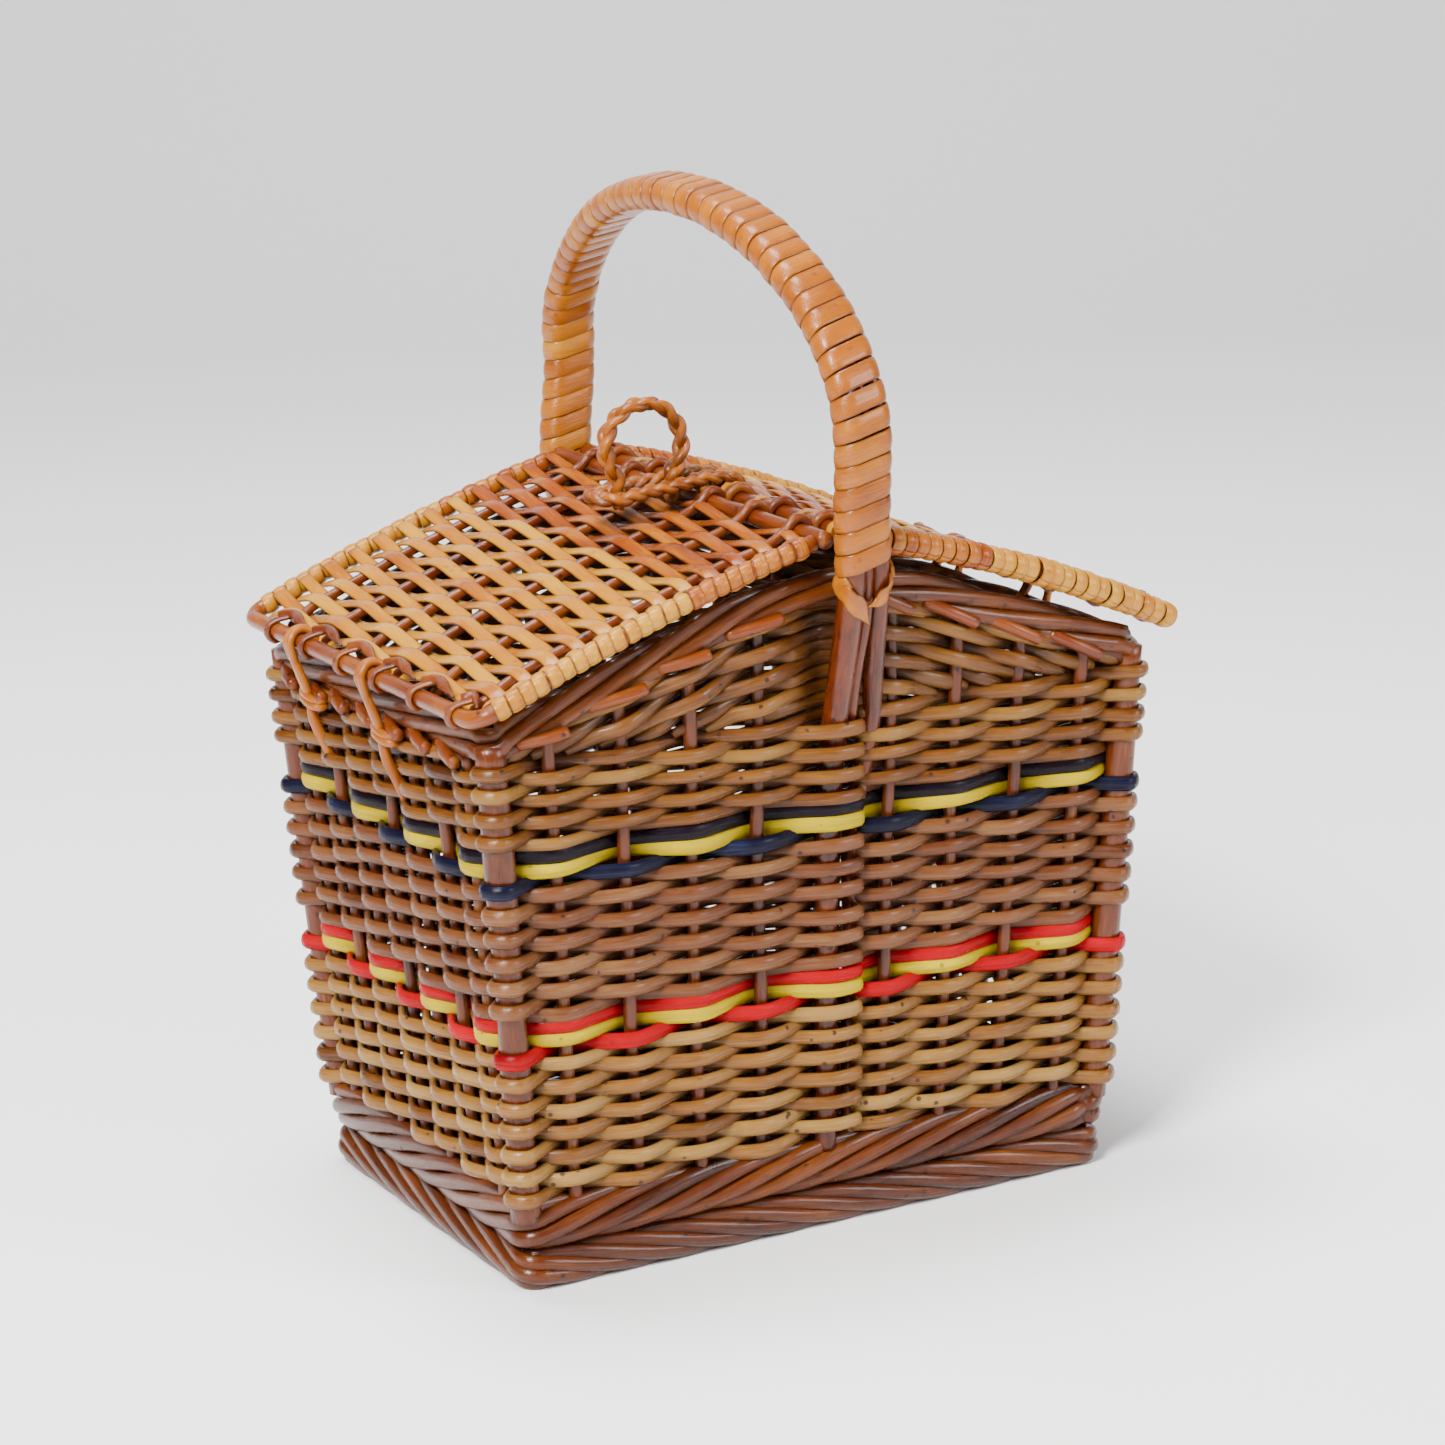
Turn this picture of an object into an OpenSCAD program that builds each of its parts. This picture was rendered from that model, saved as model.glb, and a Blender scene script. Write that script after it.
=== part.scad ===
// Lidded wicker picnic basket with a bow handle.
// Millimetres, +Z up. X runs across the two gable faces, Y runs along the ridge.
// The origin is on the ground under the middle of the basket.
// Soft woven walls are modelled as closed slabs around their stakes.

/* [Node] */
// Sub-part to draw

/* [Body size] */
// Length of the foot from left to right
base_length = 272; // [240:1:300]
// Width of the foot from front to back
base_width = 184; // [160:1:220]
// Length at the eaves from left to right
eave_length = 300; // [260:1:330]
// Width at the eaves from front to back
eave_width = 205; // [180:1:240]
// Height of the eaves
eave_height = 221; // [180:1:240]
// Thickness of the woven walls
wall_thickness = 12; // [10:0.5:14]

/* [Weave bands] */
// Top of the rolled foot border
foot_top = 17; // [12:0.5:20]
// Top of the dark upsett wale
upsett_top = 36.8; // [30:0.2:44]
// Top of the lower weave
lower_weave_top = 94.6; // [80:0.2:100]
// Height of one coloured row
colour_row = 4.8; // [4:0.1:6]
// Top of the middle weave
middle_weave_top = 163; // [150:0.2:170]
// Top of the upper weave
upper_weave_top = 214; // [205:0.2:216]

/* [Stakes and posts] */
// Radius of a wall stake
stake_radius = 2.65; // [2:0.05:3.2]
// Stakes on each side of the handle leg in a gable wall
gable_stakes = 4; // [2:1:5]
// Stakes in an eave wall
eave_stakes = 7; // [5:2:9]
// Radius of a corner post
post_radius = 6.2; // [5:0.1:6.3]

/* [Borders] */
// Radius of the top border rods
border_radius = 4.3; // [3:0.1:5]
// Height of the gable border at the middle
gable_top = 264; // [255:0.5:275]
// Slope of the gable border in degrees
gable_slope = 19.65; // [15:0.05:25]
// Half length of the rounded top of the gable border
gable_round = 50; // [30:1:70]

/* [Handle] */
// Half distance between the handle legs
handle_reach = 124; // [120:0.5:130]
// Height of the straight wrapped part of a leg
handle_leg = 48; // [30:0.5:60]
// Rise of the bow above the straight legs
handle_rise = 88.5; // [70:0.5:100]
// Radius of the bow at its shoulders
shoulder_radius = 65; // [50:0.5:80]
// Radius of the thick bow rod
thick_rod = 4.8; // [4:0.1:5]
// Radius of the slim bow rod
slim_rod = 1.6; // [1.5:0.1:2.2]
// Radius of the side bow rod
side_rod = 3.3; // [2.5:0.1:3.5]
// Width of the wrapped grip
grip_width = 22.4; // [20:0.2:26]
// Depth of the wrapped grip
grip_depth = 12.4; // [11:0.2:14]
// Lean of the bow towards the left
bow_lean = 6.3; // [0:0.1:8]
// Turn of the bow about the vertical
bow_turn = 2.3; // [0:0.1:4]

/* [Lids] */
// Half distance between the two hinge rods
hinge_reach = 154; // [150:0.5:158]
// Height of the hinge rods
hinge_height = 234.5; // [230:0.5:240]
// Half distance between the two ridge rods
ridge_reach = 6.5; // [5.5:0.1:8]
// Height of the ridge rods
ridge_height = 285.5; // [278:0.5:292]
// Half length of the lids along the ridge
lid_half = 112; // [108:0.5:114]
// Rise of the curved lid above its chord
lid_bow = 3.5; // [2:0.1:6]
// Radius of the lid frame rods
lid_rod = 3.5; // [3:0.1:4]
// Thickness of the woven lid panel
lid_thickness = 7.6; // [7:0.1:9]
// Stakes in each lid
lid_stakes = 6; // [4:2:8]
// Distance between lid stakes
lid_stake_pitch = 34; // [28:1:36]
// Shift of the lid stakes along the ridge
lid_stake_shift = -6; // [-8:1:0]

/* [Fastening] */
// Middle of the staple ring along X
ring_x = -28; // [-32:0.5:-20]
// Middle of the ring and the hasp along Y
ring_y = -6; // [-8:1:0]
// Height of the middle of the staple ring
ring_z = 309; // [304:0.5:312]
// Radius of the staple ring to the middle of its cord
ring_radius = 16.8; // [14:0.1:18]
// Radius of the braided cords
braid_radius = 3.2; // [2.5:0.1:3.5]
// Tip of the hasp along X
hasp_tip = -53; // [-58:0.5:-50]
// Half distance between the two sides of the hasp
hasp_half = 8.5; // [7:0.1:10]
// Hinge loop positions along Y
loop_places = [-16, 53]; // [-80:1:80]
// Radius of the cane in a hinge loop
loop_cane = 1.3; // [1:0.1:1.6]

/* [Hidden] */
$fn = 64;
gap = 0.3;
row_gap = 0.2;
FRONT = 0;
LEFT = 1;
BACK = 2;
RIGHT = 3;
post_inset = 6.5;
corner_space = 13.2;

// Half size of the body at a height, across X and across Y
function half_x(z) = base_length / 2 + (eave_length - base_length) / 2 * z / eave_height;
function half_y(z) = base_width / 2 + (eave_width - base_width) / 2 * z / eave_height;

// Lean of each wall and its distance from the middle at the ground
function is_gable(side) = side == FRONT || side == BACK;
function lean(side) = is_gable(side)
    ? atan((eave_width - base_width) / 2 / eave_height)
    : atan((eave_length - base_length) / 2 / eave_height);
function offset_of(side) = is_gable(side) ? base_width / 2 : base_length / 2;
function half_run(side, z) = is_gable(side) ? half_x(z) : half_y(z);
function slope_v(side, z) = z / cos(lean(side));
function turn_of(side) = [0, -90, 180, 90][side];

// Gable border curve: a round top between two straight slopes
round_radius = gable_round / sin(gable_slope);
round_middle = gable_top - round_radius;
shoulder_v = round_middle + round_radius * cos(gable_slope);
border_end = half_x(eave_height) - corner_space;
function border_v(u) = abs(u) <= gable_round
    ? round_middle + sqrt(round_radius * round_radius - u * u)
    : shoulder_v - (abs(u) - gable_round) * tan(gable_slope);

// Stake places as fractions of the half run
function gable_places() = [for (i = [-gable_stakes:gable_stakes]) if (i != 0) i / (gable_stakes + 1)];
function eave_places() = [for (i = [1:eave_stakes]) (i - (eave_stakes + 1) / 2) / ((eave_stakes + 1) / 2)];
function places(side) = is_gable(side) ? gable_places() : eave_places();

// Handle bow: two shoulder arcs and one top arc that meet without a corner
reach_in = handle_reach - shoulder_radius;
top_radius = (handle_reach * handle_reach - 2 * handle_reach * shoulder_radius
    + handle_rise * handle_rise) / (2 * (handle_rise - shoulder_radius));
top_drop = top_radius - handle_rise;
shoulder_turn = atan2(top_drop, reach_in);
bow_base = 270;
bow_shift = 5;
thick_dx = -5.45;
slim_dx = 1.65;
side_dx = 7;
leg_bend = 188;
leg_foot = 19;

// Point of the handle frame in the basket frame
function bow_point(dx, y, h) = let (
    x1 = dx * cos(bow_lean) - h * sin(bow_lean),
    z1 = dx * sin(bow_lean) + h * cos(bow_lean)
) [bow_shift + x1 * cos(bow_turn) - y * sin(bow_turn),
    x1 * sin(bow_turn) + y * cos(bow_turn),
    bow_base + z1];

// Point inside a gable wall, front for sign -1 and back for sign 1
function gable_point(u, v, w, sign) = let (a = lean(FRONT)) [u,
    sign * (base_width / 2 + w * cos(a) + v * sin(a)),
    v * cos(a) - w * sin(a)];

// Lid chord and curve
chord_x = hinge_reach - ridge_reach;
chord_z = ridge_height - hinge_height;
chord = sqrt(chord_x * chord_x + chord_z * chord_z);
chord_turn = atan2(chord_z, chord_x);
lid_radius = (chord * chord / 4 + lid_bow * lid_bow) / (2 * lid_bow);
edge_reach = lid_half - 4;
edge_rod = 3;
wrap_out = 4.8;
wrap_count = 13;
lid_margin = 8;
ring_out = 5.2;

seam = 0.1;
knuckle = 0.02;

// A round rod between two points
module rod(p, q, r) {
    d = q - p;
    length = norm(d);
    translate(p)
        rotate([0, acos(d[2] / length), atan2(d[1], d[0])])
            cylinder(h = length, r = r);
}

// A round rod through a list of points, with a slight swelling at the bends
module bent_rod(points, r) {
    for (i = [0:len(points) - 2])
        rod(points[i], points[i + 1], r);
    for (i = [1:len(points) - 2])
        translate(points[i])
            sphere(r = r * (1 + knuckle));
}

// Place a drawing in the plane of a wall: X along it, Y up it, Z out of it
module on_wall(side) {
    rotate([0, 0, turn_of(side)])
        translate([0, -offset_of(side), 0])
            rotate([lean(side), 0, 0])
                rotate([90, 0, 0])
                    children();
}

// Flat slab of one wall between two heights
module slab(side, z0, z1, inner, outer) {
    h0 = half_run(side, z0) - corner_space;
    h1 = half_run(side, z1) - corner_space;
    v0 = slope_v(side, z0);
    v1 = slope_v(side, z1);
    on_wall(side)
        translate([0, 0, -inner])
            linear_extrude(height = inner + outer)
                polygon([[-h0, v0], [h0, v0], [h1, v1], [-h1, v1]]);
}

// Stakes of one wall, also used with a larger radius to cut their channels
module wall_stakes(side, r, low, high) {
    on_wall(side)
        for (s = places(side)) {
            top = high > 0 ? slope_v(side, high) : border_v(s * half_run(side, eave_height)) - 6;
            u0 = s * half_run(side, low);
            u1 = s * half_run(side, top);
            rod([u0, slope_v(side, low), -wall_thickness / 2], [u1, top, -wall_thickness / 2], r);
        }
}

// Path of one bow rod: down the leg, into the wall and down to the foot
function leg_path(dx, foot_u, sign, foot) = [
    gable_point(foot_u, foot, -wall_thickness / 2, sign),
    gable_point(foot_u * 0.75, leg_bend, -wall_thickness / 2, sign),
    bow_point(dx, sign * handle_reach, 0),
    bow_point(dx, sign * handle_reach, handle_leg - seam)
];

// Space taken by the legs inside the gable walls
module leg_space() {
    for (sign = [-1, 1]) {
        leg_channel(leg_path(thick_dx, -3, sign, leg_foot - 2), thick_rod + gap);
        leg_channel(leg_path(side_dx, 9, sign, leg_foot - 2), side_rod + gap);
        slim = leg_path(slim_dx, 3, sign, leg_foot);
        rod(slim[1] + (slim[2] - slim[1]) * 0.3 + [0, sign * 5.8, 0], slim[2], slim_rod + gap);
    }
}

// Channel for one leg, bored from below and from above
module leg_channel(path, r) {
    rod(path[0], path[1] + (path[1] - path[0]) * 0.02, r);
    rod(path[1] - (path[2] - path[1]) * 0.03, path[2], r);
    translate(path[1])
        sphere(r = r + 0.2);
}

// Channels of all stakes in a band
module stake_channels(z0, z1) {
    for (side = [FRONT, LEFT, BACK, RIGHT])
        wall_stakes(side, stake_radius + gap, z0 - 3, z1 + 3);
}

// One woven band round the body
module band(z0, z1, outer) {
    difference() {
        for (side = [FRONT, LEFT, BACK, RIGHT])
            slab(side, z0, z1, wall_thickness, outer);
        stake_channels(z0, z1);
        leg_space();
    }
}

module base_panel() {
    color("#8a4a2b")
        difference() {
            translate([-base_length / 2 + 13, -base_width / 2 + 13, 6])
                cube([base_length - 26, base_width - 26, 8]);
            base_rods(2.6 + gap, 2);
        }
}

module base_rods(r, extra) {
    for (i = [-3:3])
        translate([-base_length / 2 + 14 - extra, i * 22, 10])
            rotate([0, 90, 0])
                cylinder(h = base_length - 28 + 2 * extra, r = r);
}

module base_sticks() {
    color("#6e3a22")
        base_rods(2.6, 0);
}

module foot_border() {
    color("#8b3b1e")
        for (side = [FRONT, LEFT, BACK, RIGHT])
            rotate([0, 0, turn_of(side)])
                translate([-half_run(side, 0) + corner_space, -offset_of(side) + 6, 0])
                    rotate([90, 0, 90])
                        linear_extrude(height = 2 * (half_run(side, 0) - corner_space))
                            difference() {
                                union() {
                                    translate([0, 5.6])
                                        circle(r = 6);
                                    translate([0, foot_top - 6])
                                        circle(r = 6);
                                    translate([-6, 5.6])
                                        square([12, foot_top - 11.6]);
                                }
                                translate([-7, -1])
                                    square([14, 1]);
                            }
}

module upsett_wale() {
    color("#5f2a1c")
        band(foot_top + gap, upsett_top, 0.5);
}

module lower_weave() {
    color("#b08a55")
        band(upsett_top + row_gap, lower_weave_top, 0);
}

function row_low(base, i) = base + row_gap + i * (colour_row + row_gap);

module red_row_lower() {
    color("#c02418")
        band(row_low(lower_weave_top, 0), row_low(lower_weave_top, 0) + colour_row, 0);
}

module yellow_row_lower() {
    color("#e0b020")
        band(row_low(lower_weave_top, 1), row_low(lower_weave_top, 1) + colour_row, 0);
}

module red_row_upper() {
    color("#c02418")
        band(row_low(lower_weave_top, 2), row_low(lower_weave_top, 2) + colour_row, 0);
}

module middle_weave() {
    color("#b5835a")
        band(row_low(lower_weave_top, 3), middle_weave_top, 0);
}

module navy_row_lower() {
    color("#2a2c66")
        band(row_low(middle_weave_top, 0), row_low(middle_weave_top, 0) + colour_row, 0);
}

module yellow_row_upper() {
    color("#e0b020")
        band(row_low(middle_weave_top, 1), row_low(middle_weave_top, 1) + colour_row, 0);
}

module navy_row_upper() {
    color("#2a2c66")
        band(row_low(middle_weave_top, 2), row_low(middle_weave_top, 2) + colour_row, 0);
}

module upper_weave() {
    color("#b07a42")
        band(row_low(middle_weave_top, 3), upper_weave_top, 0);
}

// Woven fill of one gable, from the eaves up to the border
module gable_weave(side) {
    low = slope_v(side, upper_weave_top + row_gap);
    edge = half_x(upper_weave_top) - corner_space;
    count = 12;
    top = [for (i = [0:count]) let (u = edge - 2 * edge * i / count) [u, border_v(u) - 4.7]];
    difference() {
        on_wall(side)
            translate([0, 0, -wall_thickness])
                linear_extrude(height = wall_thickness)
                    polygon(concat([[-edge, low], [edge, low]], top));
        wall_stakes(side, stake_radius + gap, upper_weave_top - 4, 0);
        leg_space();
    }
}

module front_gable_weave() {
    color("#b07a42")
        gable_weave(FRONT);
}

module back_gable_weave() {
    color("#b07a42")
        gable_weave(BACK);
}

// Top border rod of one gable: two straight runs and the round between them
module gable_border(side) {
    split = seam / round_radius * 180 / PI;
    on_wall(side)
        translate([0, 0, -wall_thickness / 2]) {
            translate([0, round_middle, 0])
                rotate([0, 0, 90 - gable_slope + split])
                    rotate_extrude(angle = 2 * (gable_slope - split))
                        translate([round_radius, 0])
                            circle(r = border_radius);
            for (s = [-1, 1])
                rod([s * border_end, border_v(border_end), 0], [s * gable_round, shoulder_v, 0],
                    border_radius);
        }
}

module front_gable_border() {
    color("#8a3218")
        gable_border(FRONT);
}

module back_gable_border() {
    color("#8a3218")
        gable_border(BACK);
}

// Top border rod of one eave
module eave_border(side) {
    v = slope_v(side, upper_weave_top + row_gap) + border_radius + gap;
    end = half_run(side, eave_height) - corner_space;
    on_wall(side)
        rod([-end, v, -wall_thickness / 2], [end, v, -wall_thickness / 2], border_radius);
}

module left_eave_border() {
    color("#8a3218")
        eave_border(LEFT);
}

module right_eave_border() {
    color("#8a3218")
        eave_border(RIGHT);
}

// Corner post leaning out with the two walls that meet there
module post(sx, sy) {
    low = 0.6;
    high = eave_height + 3;
    color("#7a4a2a")
        rod([sx * (half_x(low) - post_inset), sy * (half_y(low) - post_inset), low],
            [sx * (half_x(high) - post_inset), sy * (half_y(high) - post_inset), high], post_radius);
}

module front_left_post() {
    post(-1, -1);
}

module front_right_post() {
    post(1, -1);
}

module back_left_post() {
    post(-1, 1);
}

module back_right_post() {
    post(1, 1);
}

module front_stakes() {
    color("#8a5a34")
        wall_stakes(FRONT, stake_radius, foot_top + 1, 0);
}

module back_stakes() {
    color("#8a5a34")
        wall_stakes(BACK, stake_radius, foot_top + 1, 0);
}

module left_stakes() {
    color("#8a5a34")
        wall_stakes(LEFT, stake_radius, foot_top + 1, upper_weave_top);
}

module right_stakes() {
    color("#8a5a34")
        wall_stakes(RIGHT, stake_radius, foot_top + 1, upper_weave_top);
}

// Place a drawing in the leaning frame of the bow
module in_bow() {
    translate([bow_shift, 0, bow_base])
        rotate([0, 0, bow_turn])
            rotate([0, -bow_lean, 0])
                children();
}

// Sweep a section round the bow: the section's X is outwards, its Y is across the grip
module bow_sweep(open = 0) {
    in_bow()
        rotate([90, 0, 90]) {
            for (s = [0, 1])
                translate([s == 0 ? reach_in : -reach_in, handle_leg, 0])
                    rotate([0, 0, (s == 0 ? 0 : 180 - shoulder_turn) + open / 2])
                        rotate_extrude(angle = shoulder_turn - open)
                            translate([shoulder_radius, 0])
                                children();
            translate([0, handle_leg - top_drop, 0])
                rotate([0, 0, shoulder_turn + open / 2])
                    rotate_extrude(angle = 180 - 2 * shoulder_turn - open)
                        translate([top_radius, 0])
                            children();
        }
}

// One rod of the bow with its two legs
module bow_rod(dx, foot_u, r, foot, start) {
    bow_sweep(seam)
        translate([0, dx])
            circle(r = r);
    for (sign = [-1, 1]) {
        path = leg_path(dx, foot_u, sign, foot);
        first = path[1] + (path[2] - path[1]) * start;
        if (start == 0)
            bent_rod(path, r);
        else
            bent_rod([first + [0, sign * 4.8, 0], path[2], path[3]], r);
    }
}

module bow_thick_rod() {
    color("#a4502a")
        bow_rod(thick_dx, -3, thick_rod, leg_foot, 0);
}

module bow_slim_rod() {
    color("#b0703c")
        bow_rod(slim_dx, 3, slim_rod, leg_foot, 0.42);
}

module bow_side_rod() {
    color("#8e4628")
        bow_rod(side_dx, 9, side_rod, leg_foot, 0);
}

// Outline of the wrapped grip: a flat bar with round sides
module grip_outline(width, depth) {
    r = depth / 2;
    for (s = [-1, 1])
        translate([0, s * (width / 2 - r)])
            circle(r = r);
    square([depth, width - depth], center = true);
}

module grip_section() {
    difference() {
        grip_outline(grip_width, grip_depth);
        grip_outline(grip_width - 1.4, grip_depth - 2.4);
    }
}

module handle_wrap() {
    color("#b8641e") {
        bow_sweep(seam)
            grip_section();
        in_bow()
            for (s = [-1, 1])
                translate([0, s * handle_reach, -1])
                    rotate([0, 0, 90])
                        linear_extrude(height = handle_leg + 1 - seam)
                            grip_section();
    }
}

// Crossed ends of the wrapping cane below the grip
module wrap_tail(sign) {
    start = bow_point(0, sign * handle_reach, -1.6);
    slope = atan2(27, 78);
    color("#c0762c")
        translate(start)
            rotate([sign * slope, 0, 0])
                translate([0, sign * 6.5, -10.8])
                    rotate([90, 0, 0])
                        for (turn = [-48, 48])
                            rotate([0, 0, turn])
                                linear_extrude(height = 1, center = true)
                                    square([20, 7], center = true);
}

module front_wrap_tail() {
    wrap_tail(-1);
}

module back_wrap_tail() {
    wrap_tail(1);
}

// Cane loops that tie a hinge rod to the eave below it
module hinge_loops(sx) {
    inner = lid_rod + 0.4;
    outer = inner + 2 * loop_cane;
    drop = [sx * -1.1, 211 - hinge_height];
    color("#d0a050")
        for (y = loop_places)
            translate([sx * hinge_reach, y, hinge_height]) {
                for (s = [-1, 1])
                    translate([0, s * 1.6 + loop_cane, 0])
                        rotate([90, 0, 0])
                            linear_extrude(height = 2 * loop_cane)
                                difference() {
                                    union() {
                                        circle(r = outer);
                                        for (turn = [-30, -105]) let (
                                                top = [sx * (outer - 1) * cos(turn), (outer - 1) * sin(turn)],
                                                way = (drop - top) / norm(drop - top),
                                                wide = [-way[1], way[0]] * loop_cane * 0.8)
                                            polygon([top + wide, drop + wide, drop - wide, top - wide]);
                                    }
                                    circle(r = inner);
                                }
                translate([drop[0], 0, drop[1]])
                    rod([0, -6, 0], [0, 6, 0], 3);
            }
}

module left_hinge_loops() {
    hinge_loops(-1);
}

module right_hinge_loops() {
    hinge_loops(1);
}

// Place a drawing on a lid: X from the hinge rod to the ridge rod, Y along the rods, Z up
module on_lid(sx) {
    translate([sx * hinge_reach, 0, hinge_height])
        rotate([0, 0, sx > 0 ? 180 : 0])
            rotate([0, -chord_turn, 0])
                children();
}

// Sweep a section along the curve of the lid: X of the section is up, Y is along the rods
module lid_sweep(from, to) {
    a0 = asin((from - chord / 2) / lid_radius);
    a1 = asin((to - chord / 2) / lid_radius);
    translate([chord / 2, 0, lid_bow - lid_radius])
        rotate([-90, 0, 0])
            rotate([0, 0, a0 - 90])
                rotate_extrude(angle = a1 - a0, $fn = 720)
                    translate([lid_radius, 0])
                        children();
}

// Rod that lies along Y on a lid
module lid_cross_rod(sx, at, r) {
    on_lid(sx)
        translate([at, -lid_half, 0])
            rotate([-90, 0, 0])
                cylinder(h = 2 * lid_half, r = r);
}

module left_lid_eave_rod() {
    color("#9a5a28")
        lid_cross_rod(-1, 0, lid_rod);
}

module right_lid_eave_rod() {
    color("#9a5a28")
        lid_cross_rod(1, 0, lid_rod);
}

module left_lid_ridge_rod() {
    color("#9a5a28")
        lid_cross_rod(-1, chord, lid_rod);
}

module right_lid_ridge_rod() {
    color("#9a5a28")
        lid_cross_rod(1, chord, lid_rod);
}

// Curved rod along the gable edge of a lid
module edge_bar(sx, side) {
    color("#9a5a28")
        on_lid(sx)
            lid_sweep(lid_rod + gap, chord - lid_rod - gap)
                translate([0, side * edge_reach])
                    circle(r = edge_rod);
}

module left_lid_front_rod() {
    edge_bar(-1, -1);
}

module left_lid_back_rod() {
    edge_bar(-1, 1);
}

module right_lid_front_rod() {
    edge_bar(1, 1);
}

module right_lid_back_rod() {
    edge_bar(1, -1);
}

function stake_y(sx, i) = (i - (lid_stakes - 1) / 2) * lid_stake_pitch - sx * lid_stake_shift;

// Lid stakes, with ends bent round the hinge rod and the ridge rod
module lid_stakes_of(sx) {
    color("#8a4a22")
        on_lid(sx)
            for (i = [0:lid_stakes - 1]) {
                lid_sweep(lid_rod + 1, chord - lid_rod - 1)
                    translate([0, stake_y(sx, i)])
                        circle(r = 2.2);
                for (at = [0, chord])
                    translate([at, stake_y(sx, i) - 2.8, 0])
                        rotate([-90, 0, 0])
                            difference() {
                                cylinder(h = 5.6, r = ring_out);
                                translate([0, 0, -1])
                                    cylinder(h = 7.6, r = lid_rod + 0.1);
                            }
            }
}

module left_lid_stakes() {
    difference() {
        lid_stakes_of(-1);
        lid_cross_rod(-1, 0, lid_rod + 0.1);
        lid_cross_rod(-1, chord, lid_rod + 0.1);
    }
}

module right_lid_stakes() {
    difference() {
        lid_stakes_of(1);
        lid_cross_rod(1, 0, lid_rod + 0.1);
        lid_cross_rod(1, chord, lid_rod + 0.1);
    }
}

// Woven sheet of a lid with channels for its stakes
module lid_sheet(sx) {
    half = edge_reach - wrap_out - gap;
    on_lid(sx)
        difference() {
            lid_sweep(lid_margin, chord - lid_margin)
                square([lid_thickness, 2 * half], center = true);
            for (i = [0:lid_stakes - 1])
                lid_sweep(lid_margin - 2, chord - lid_margin + 2)
                    translate([0, stake_y(sx, i)])
                        circle(r = 2.2 + gap);
        }
}

module left_lid_weave() {
    color("#c8903c")
        difference() {
            lid_sheet(-1);
            ring_legs(braid_radius + gap, 12);
        }
}

module right_lid_weave() {
    color("#c8903c")
        lid_sheet(1);
}

// Cane turned round the gable edge rods in short wraps
module edge_wraps(sx) {
    run = chord - 16;
    step = run / wrap_count;
    color("#d8a44c")
        on_lid(sx)
            for (side = [-1, 1])
                for (i = [0:wrap_count - 1])
                    lid_sweep(8 + i * step + 1.2, 8 + (i + 1) * step - 1.2)
                        translate([0, side * edge_reach])
                            difference() {
                                circle(r = wrap_out);
                                circle(r = edge_rod + 0.2);
                            }
}

module left_lid_edge_wraps() {
    edge_wraps(-1);
}

module right_lid_edge_wraps() {
    edge_wraps(1);
}

// Cane ties on the ridge rod of the right lid, between its stakes
module right_lid_ridge_wraps() {
    color("#e0b868")
        on_lid(1)
            for (i = [0:lid_stakes - 2])
                if (2 * i != lid_stakes - 2)
                    translate([chord, stake_y(1, i) + lid_stake_pitch / 2 - 2.5, 0])
                        rotate([-90, 0, 0])
                            difference() {
                                cylinder(h = 5, r = lid_rod + 1.3);
                                translate([0, 0, -1])
                                    cylinder(h = 7, r = lid_rod + 0.1);
                            }
}

// Two legs of the staple ring, standing in the woven sheet
module ring_legs(r, depth) {
    drop = ring_radius * cos(45);
    for (s = [-1, 1])
        translate([ring_x + s * drop, ring_y, ring_z - drop - depth])
            cylinder(h = depth, r = r);
}

module staple_ring() {
    drop = ring_radius * cos(45);
    color("#b8622c") {
        translate([ring_x, ring_y, ring_z])
            rotate([90, 0, 0])
                rotate([0, 0, -45])
                    rotate_extrude(angle = 270)
                        translate([ring_radius, 0])
                            circle(r = braid_radius);
        ring_legs(braid_radius, 10);
        for (s = [-1, 1])
            translate([ring_x + s * drop, ring_y, ring_z - drop])
                sphere(r = braid_radius * (1 + knuckle));
    }
}

// Braided cane loop that turns on the ridge rod of the right lid
module hasp_loop() {
    bend_x = hasp_tip + braid_radius + hasp_half;
    top_z = ridge_height + 8.1;
    tip_z = top_z - 3.6;
    slope = atan2(top_z - tip_z, ridge_reach - bend_x);
    color("#c0702c")
        translate([0, ring_y, 0]) {
            difference() {
                union() {
                    translate([ridge_reach, -12, ridge_height])
                        rotate([-90, 0, 0])
                            cylinder(h = 24, r = lid_rod + 3);
                    for (s = [-1, 1])
                        rod([ridge_reach, s * hasp_half, top_z],
                            [bend_x - 1, s * hasp_half, tip_z - tan(slope)], braid_radius - 0.15);
                }
                translate([ridge_reach, -13, ridge_height])
                    rotate([-90, 0, 0])
                        cylinder(h = 26, r = lid_rod + gap);
            }
            translate([bend_x, 0, tip_z])
                rotate([0, -slope, 0])
                    rotate([0, 0, 90])
                        rotate_extrude(angle = 180)
                            translate([hasp_half, 0])
                                circle(r = braid_radius);
        }
}

base_panel();
base_sticks();
foot_border();
upsett_wale();
lower_weave();
red_row_lower();
yellow_row_lower();
red_row_upper();
middle_weave();
navy_row_lower();
yellow_row_upper();
navy_row_upper();
upper_weave();
front_gable_weave();
back_gable_weave();
front_gable_border();
back_gable_border();
left_eave_border();
right_eave_border();
front_left_post();
front_right_post();
back_left_post();
back_right_post();
front_stakes();
back_stakes();
left_stakes();
right_stakes();
bow_thick_rod();
bow_slim_rod();
bow_side_rod();
handle_wrap();
front_wrap_tail();
back_wrap_tail();
left_hinge_loops();
right_hinge_loops();
left_lid_eave_rod();
left_lid_ridge_rod();
left_lid_front_rod();
left_lid_back_rod();
left_lid_stakes();
left_lid_weave();
left_lid_edge_wraps();
staple_ring();
right_lid_eave_rod();
right_lid_ridge_rod();
right_lid_front_rod();
right_lid_back_rod();
right_lid_stakes();
right_lid_weave();
right_lid_edge_wraps();
right_lid_ridge_wraps();
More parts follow.
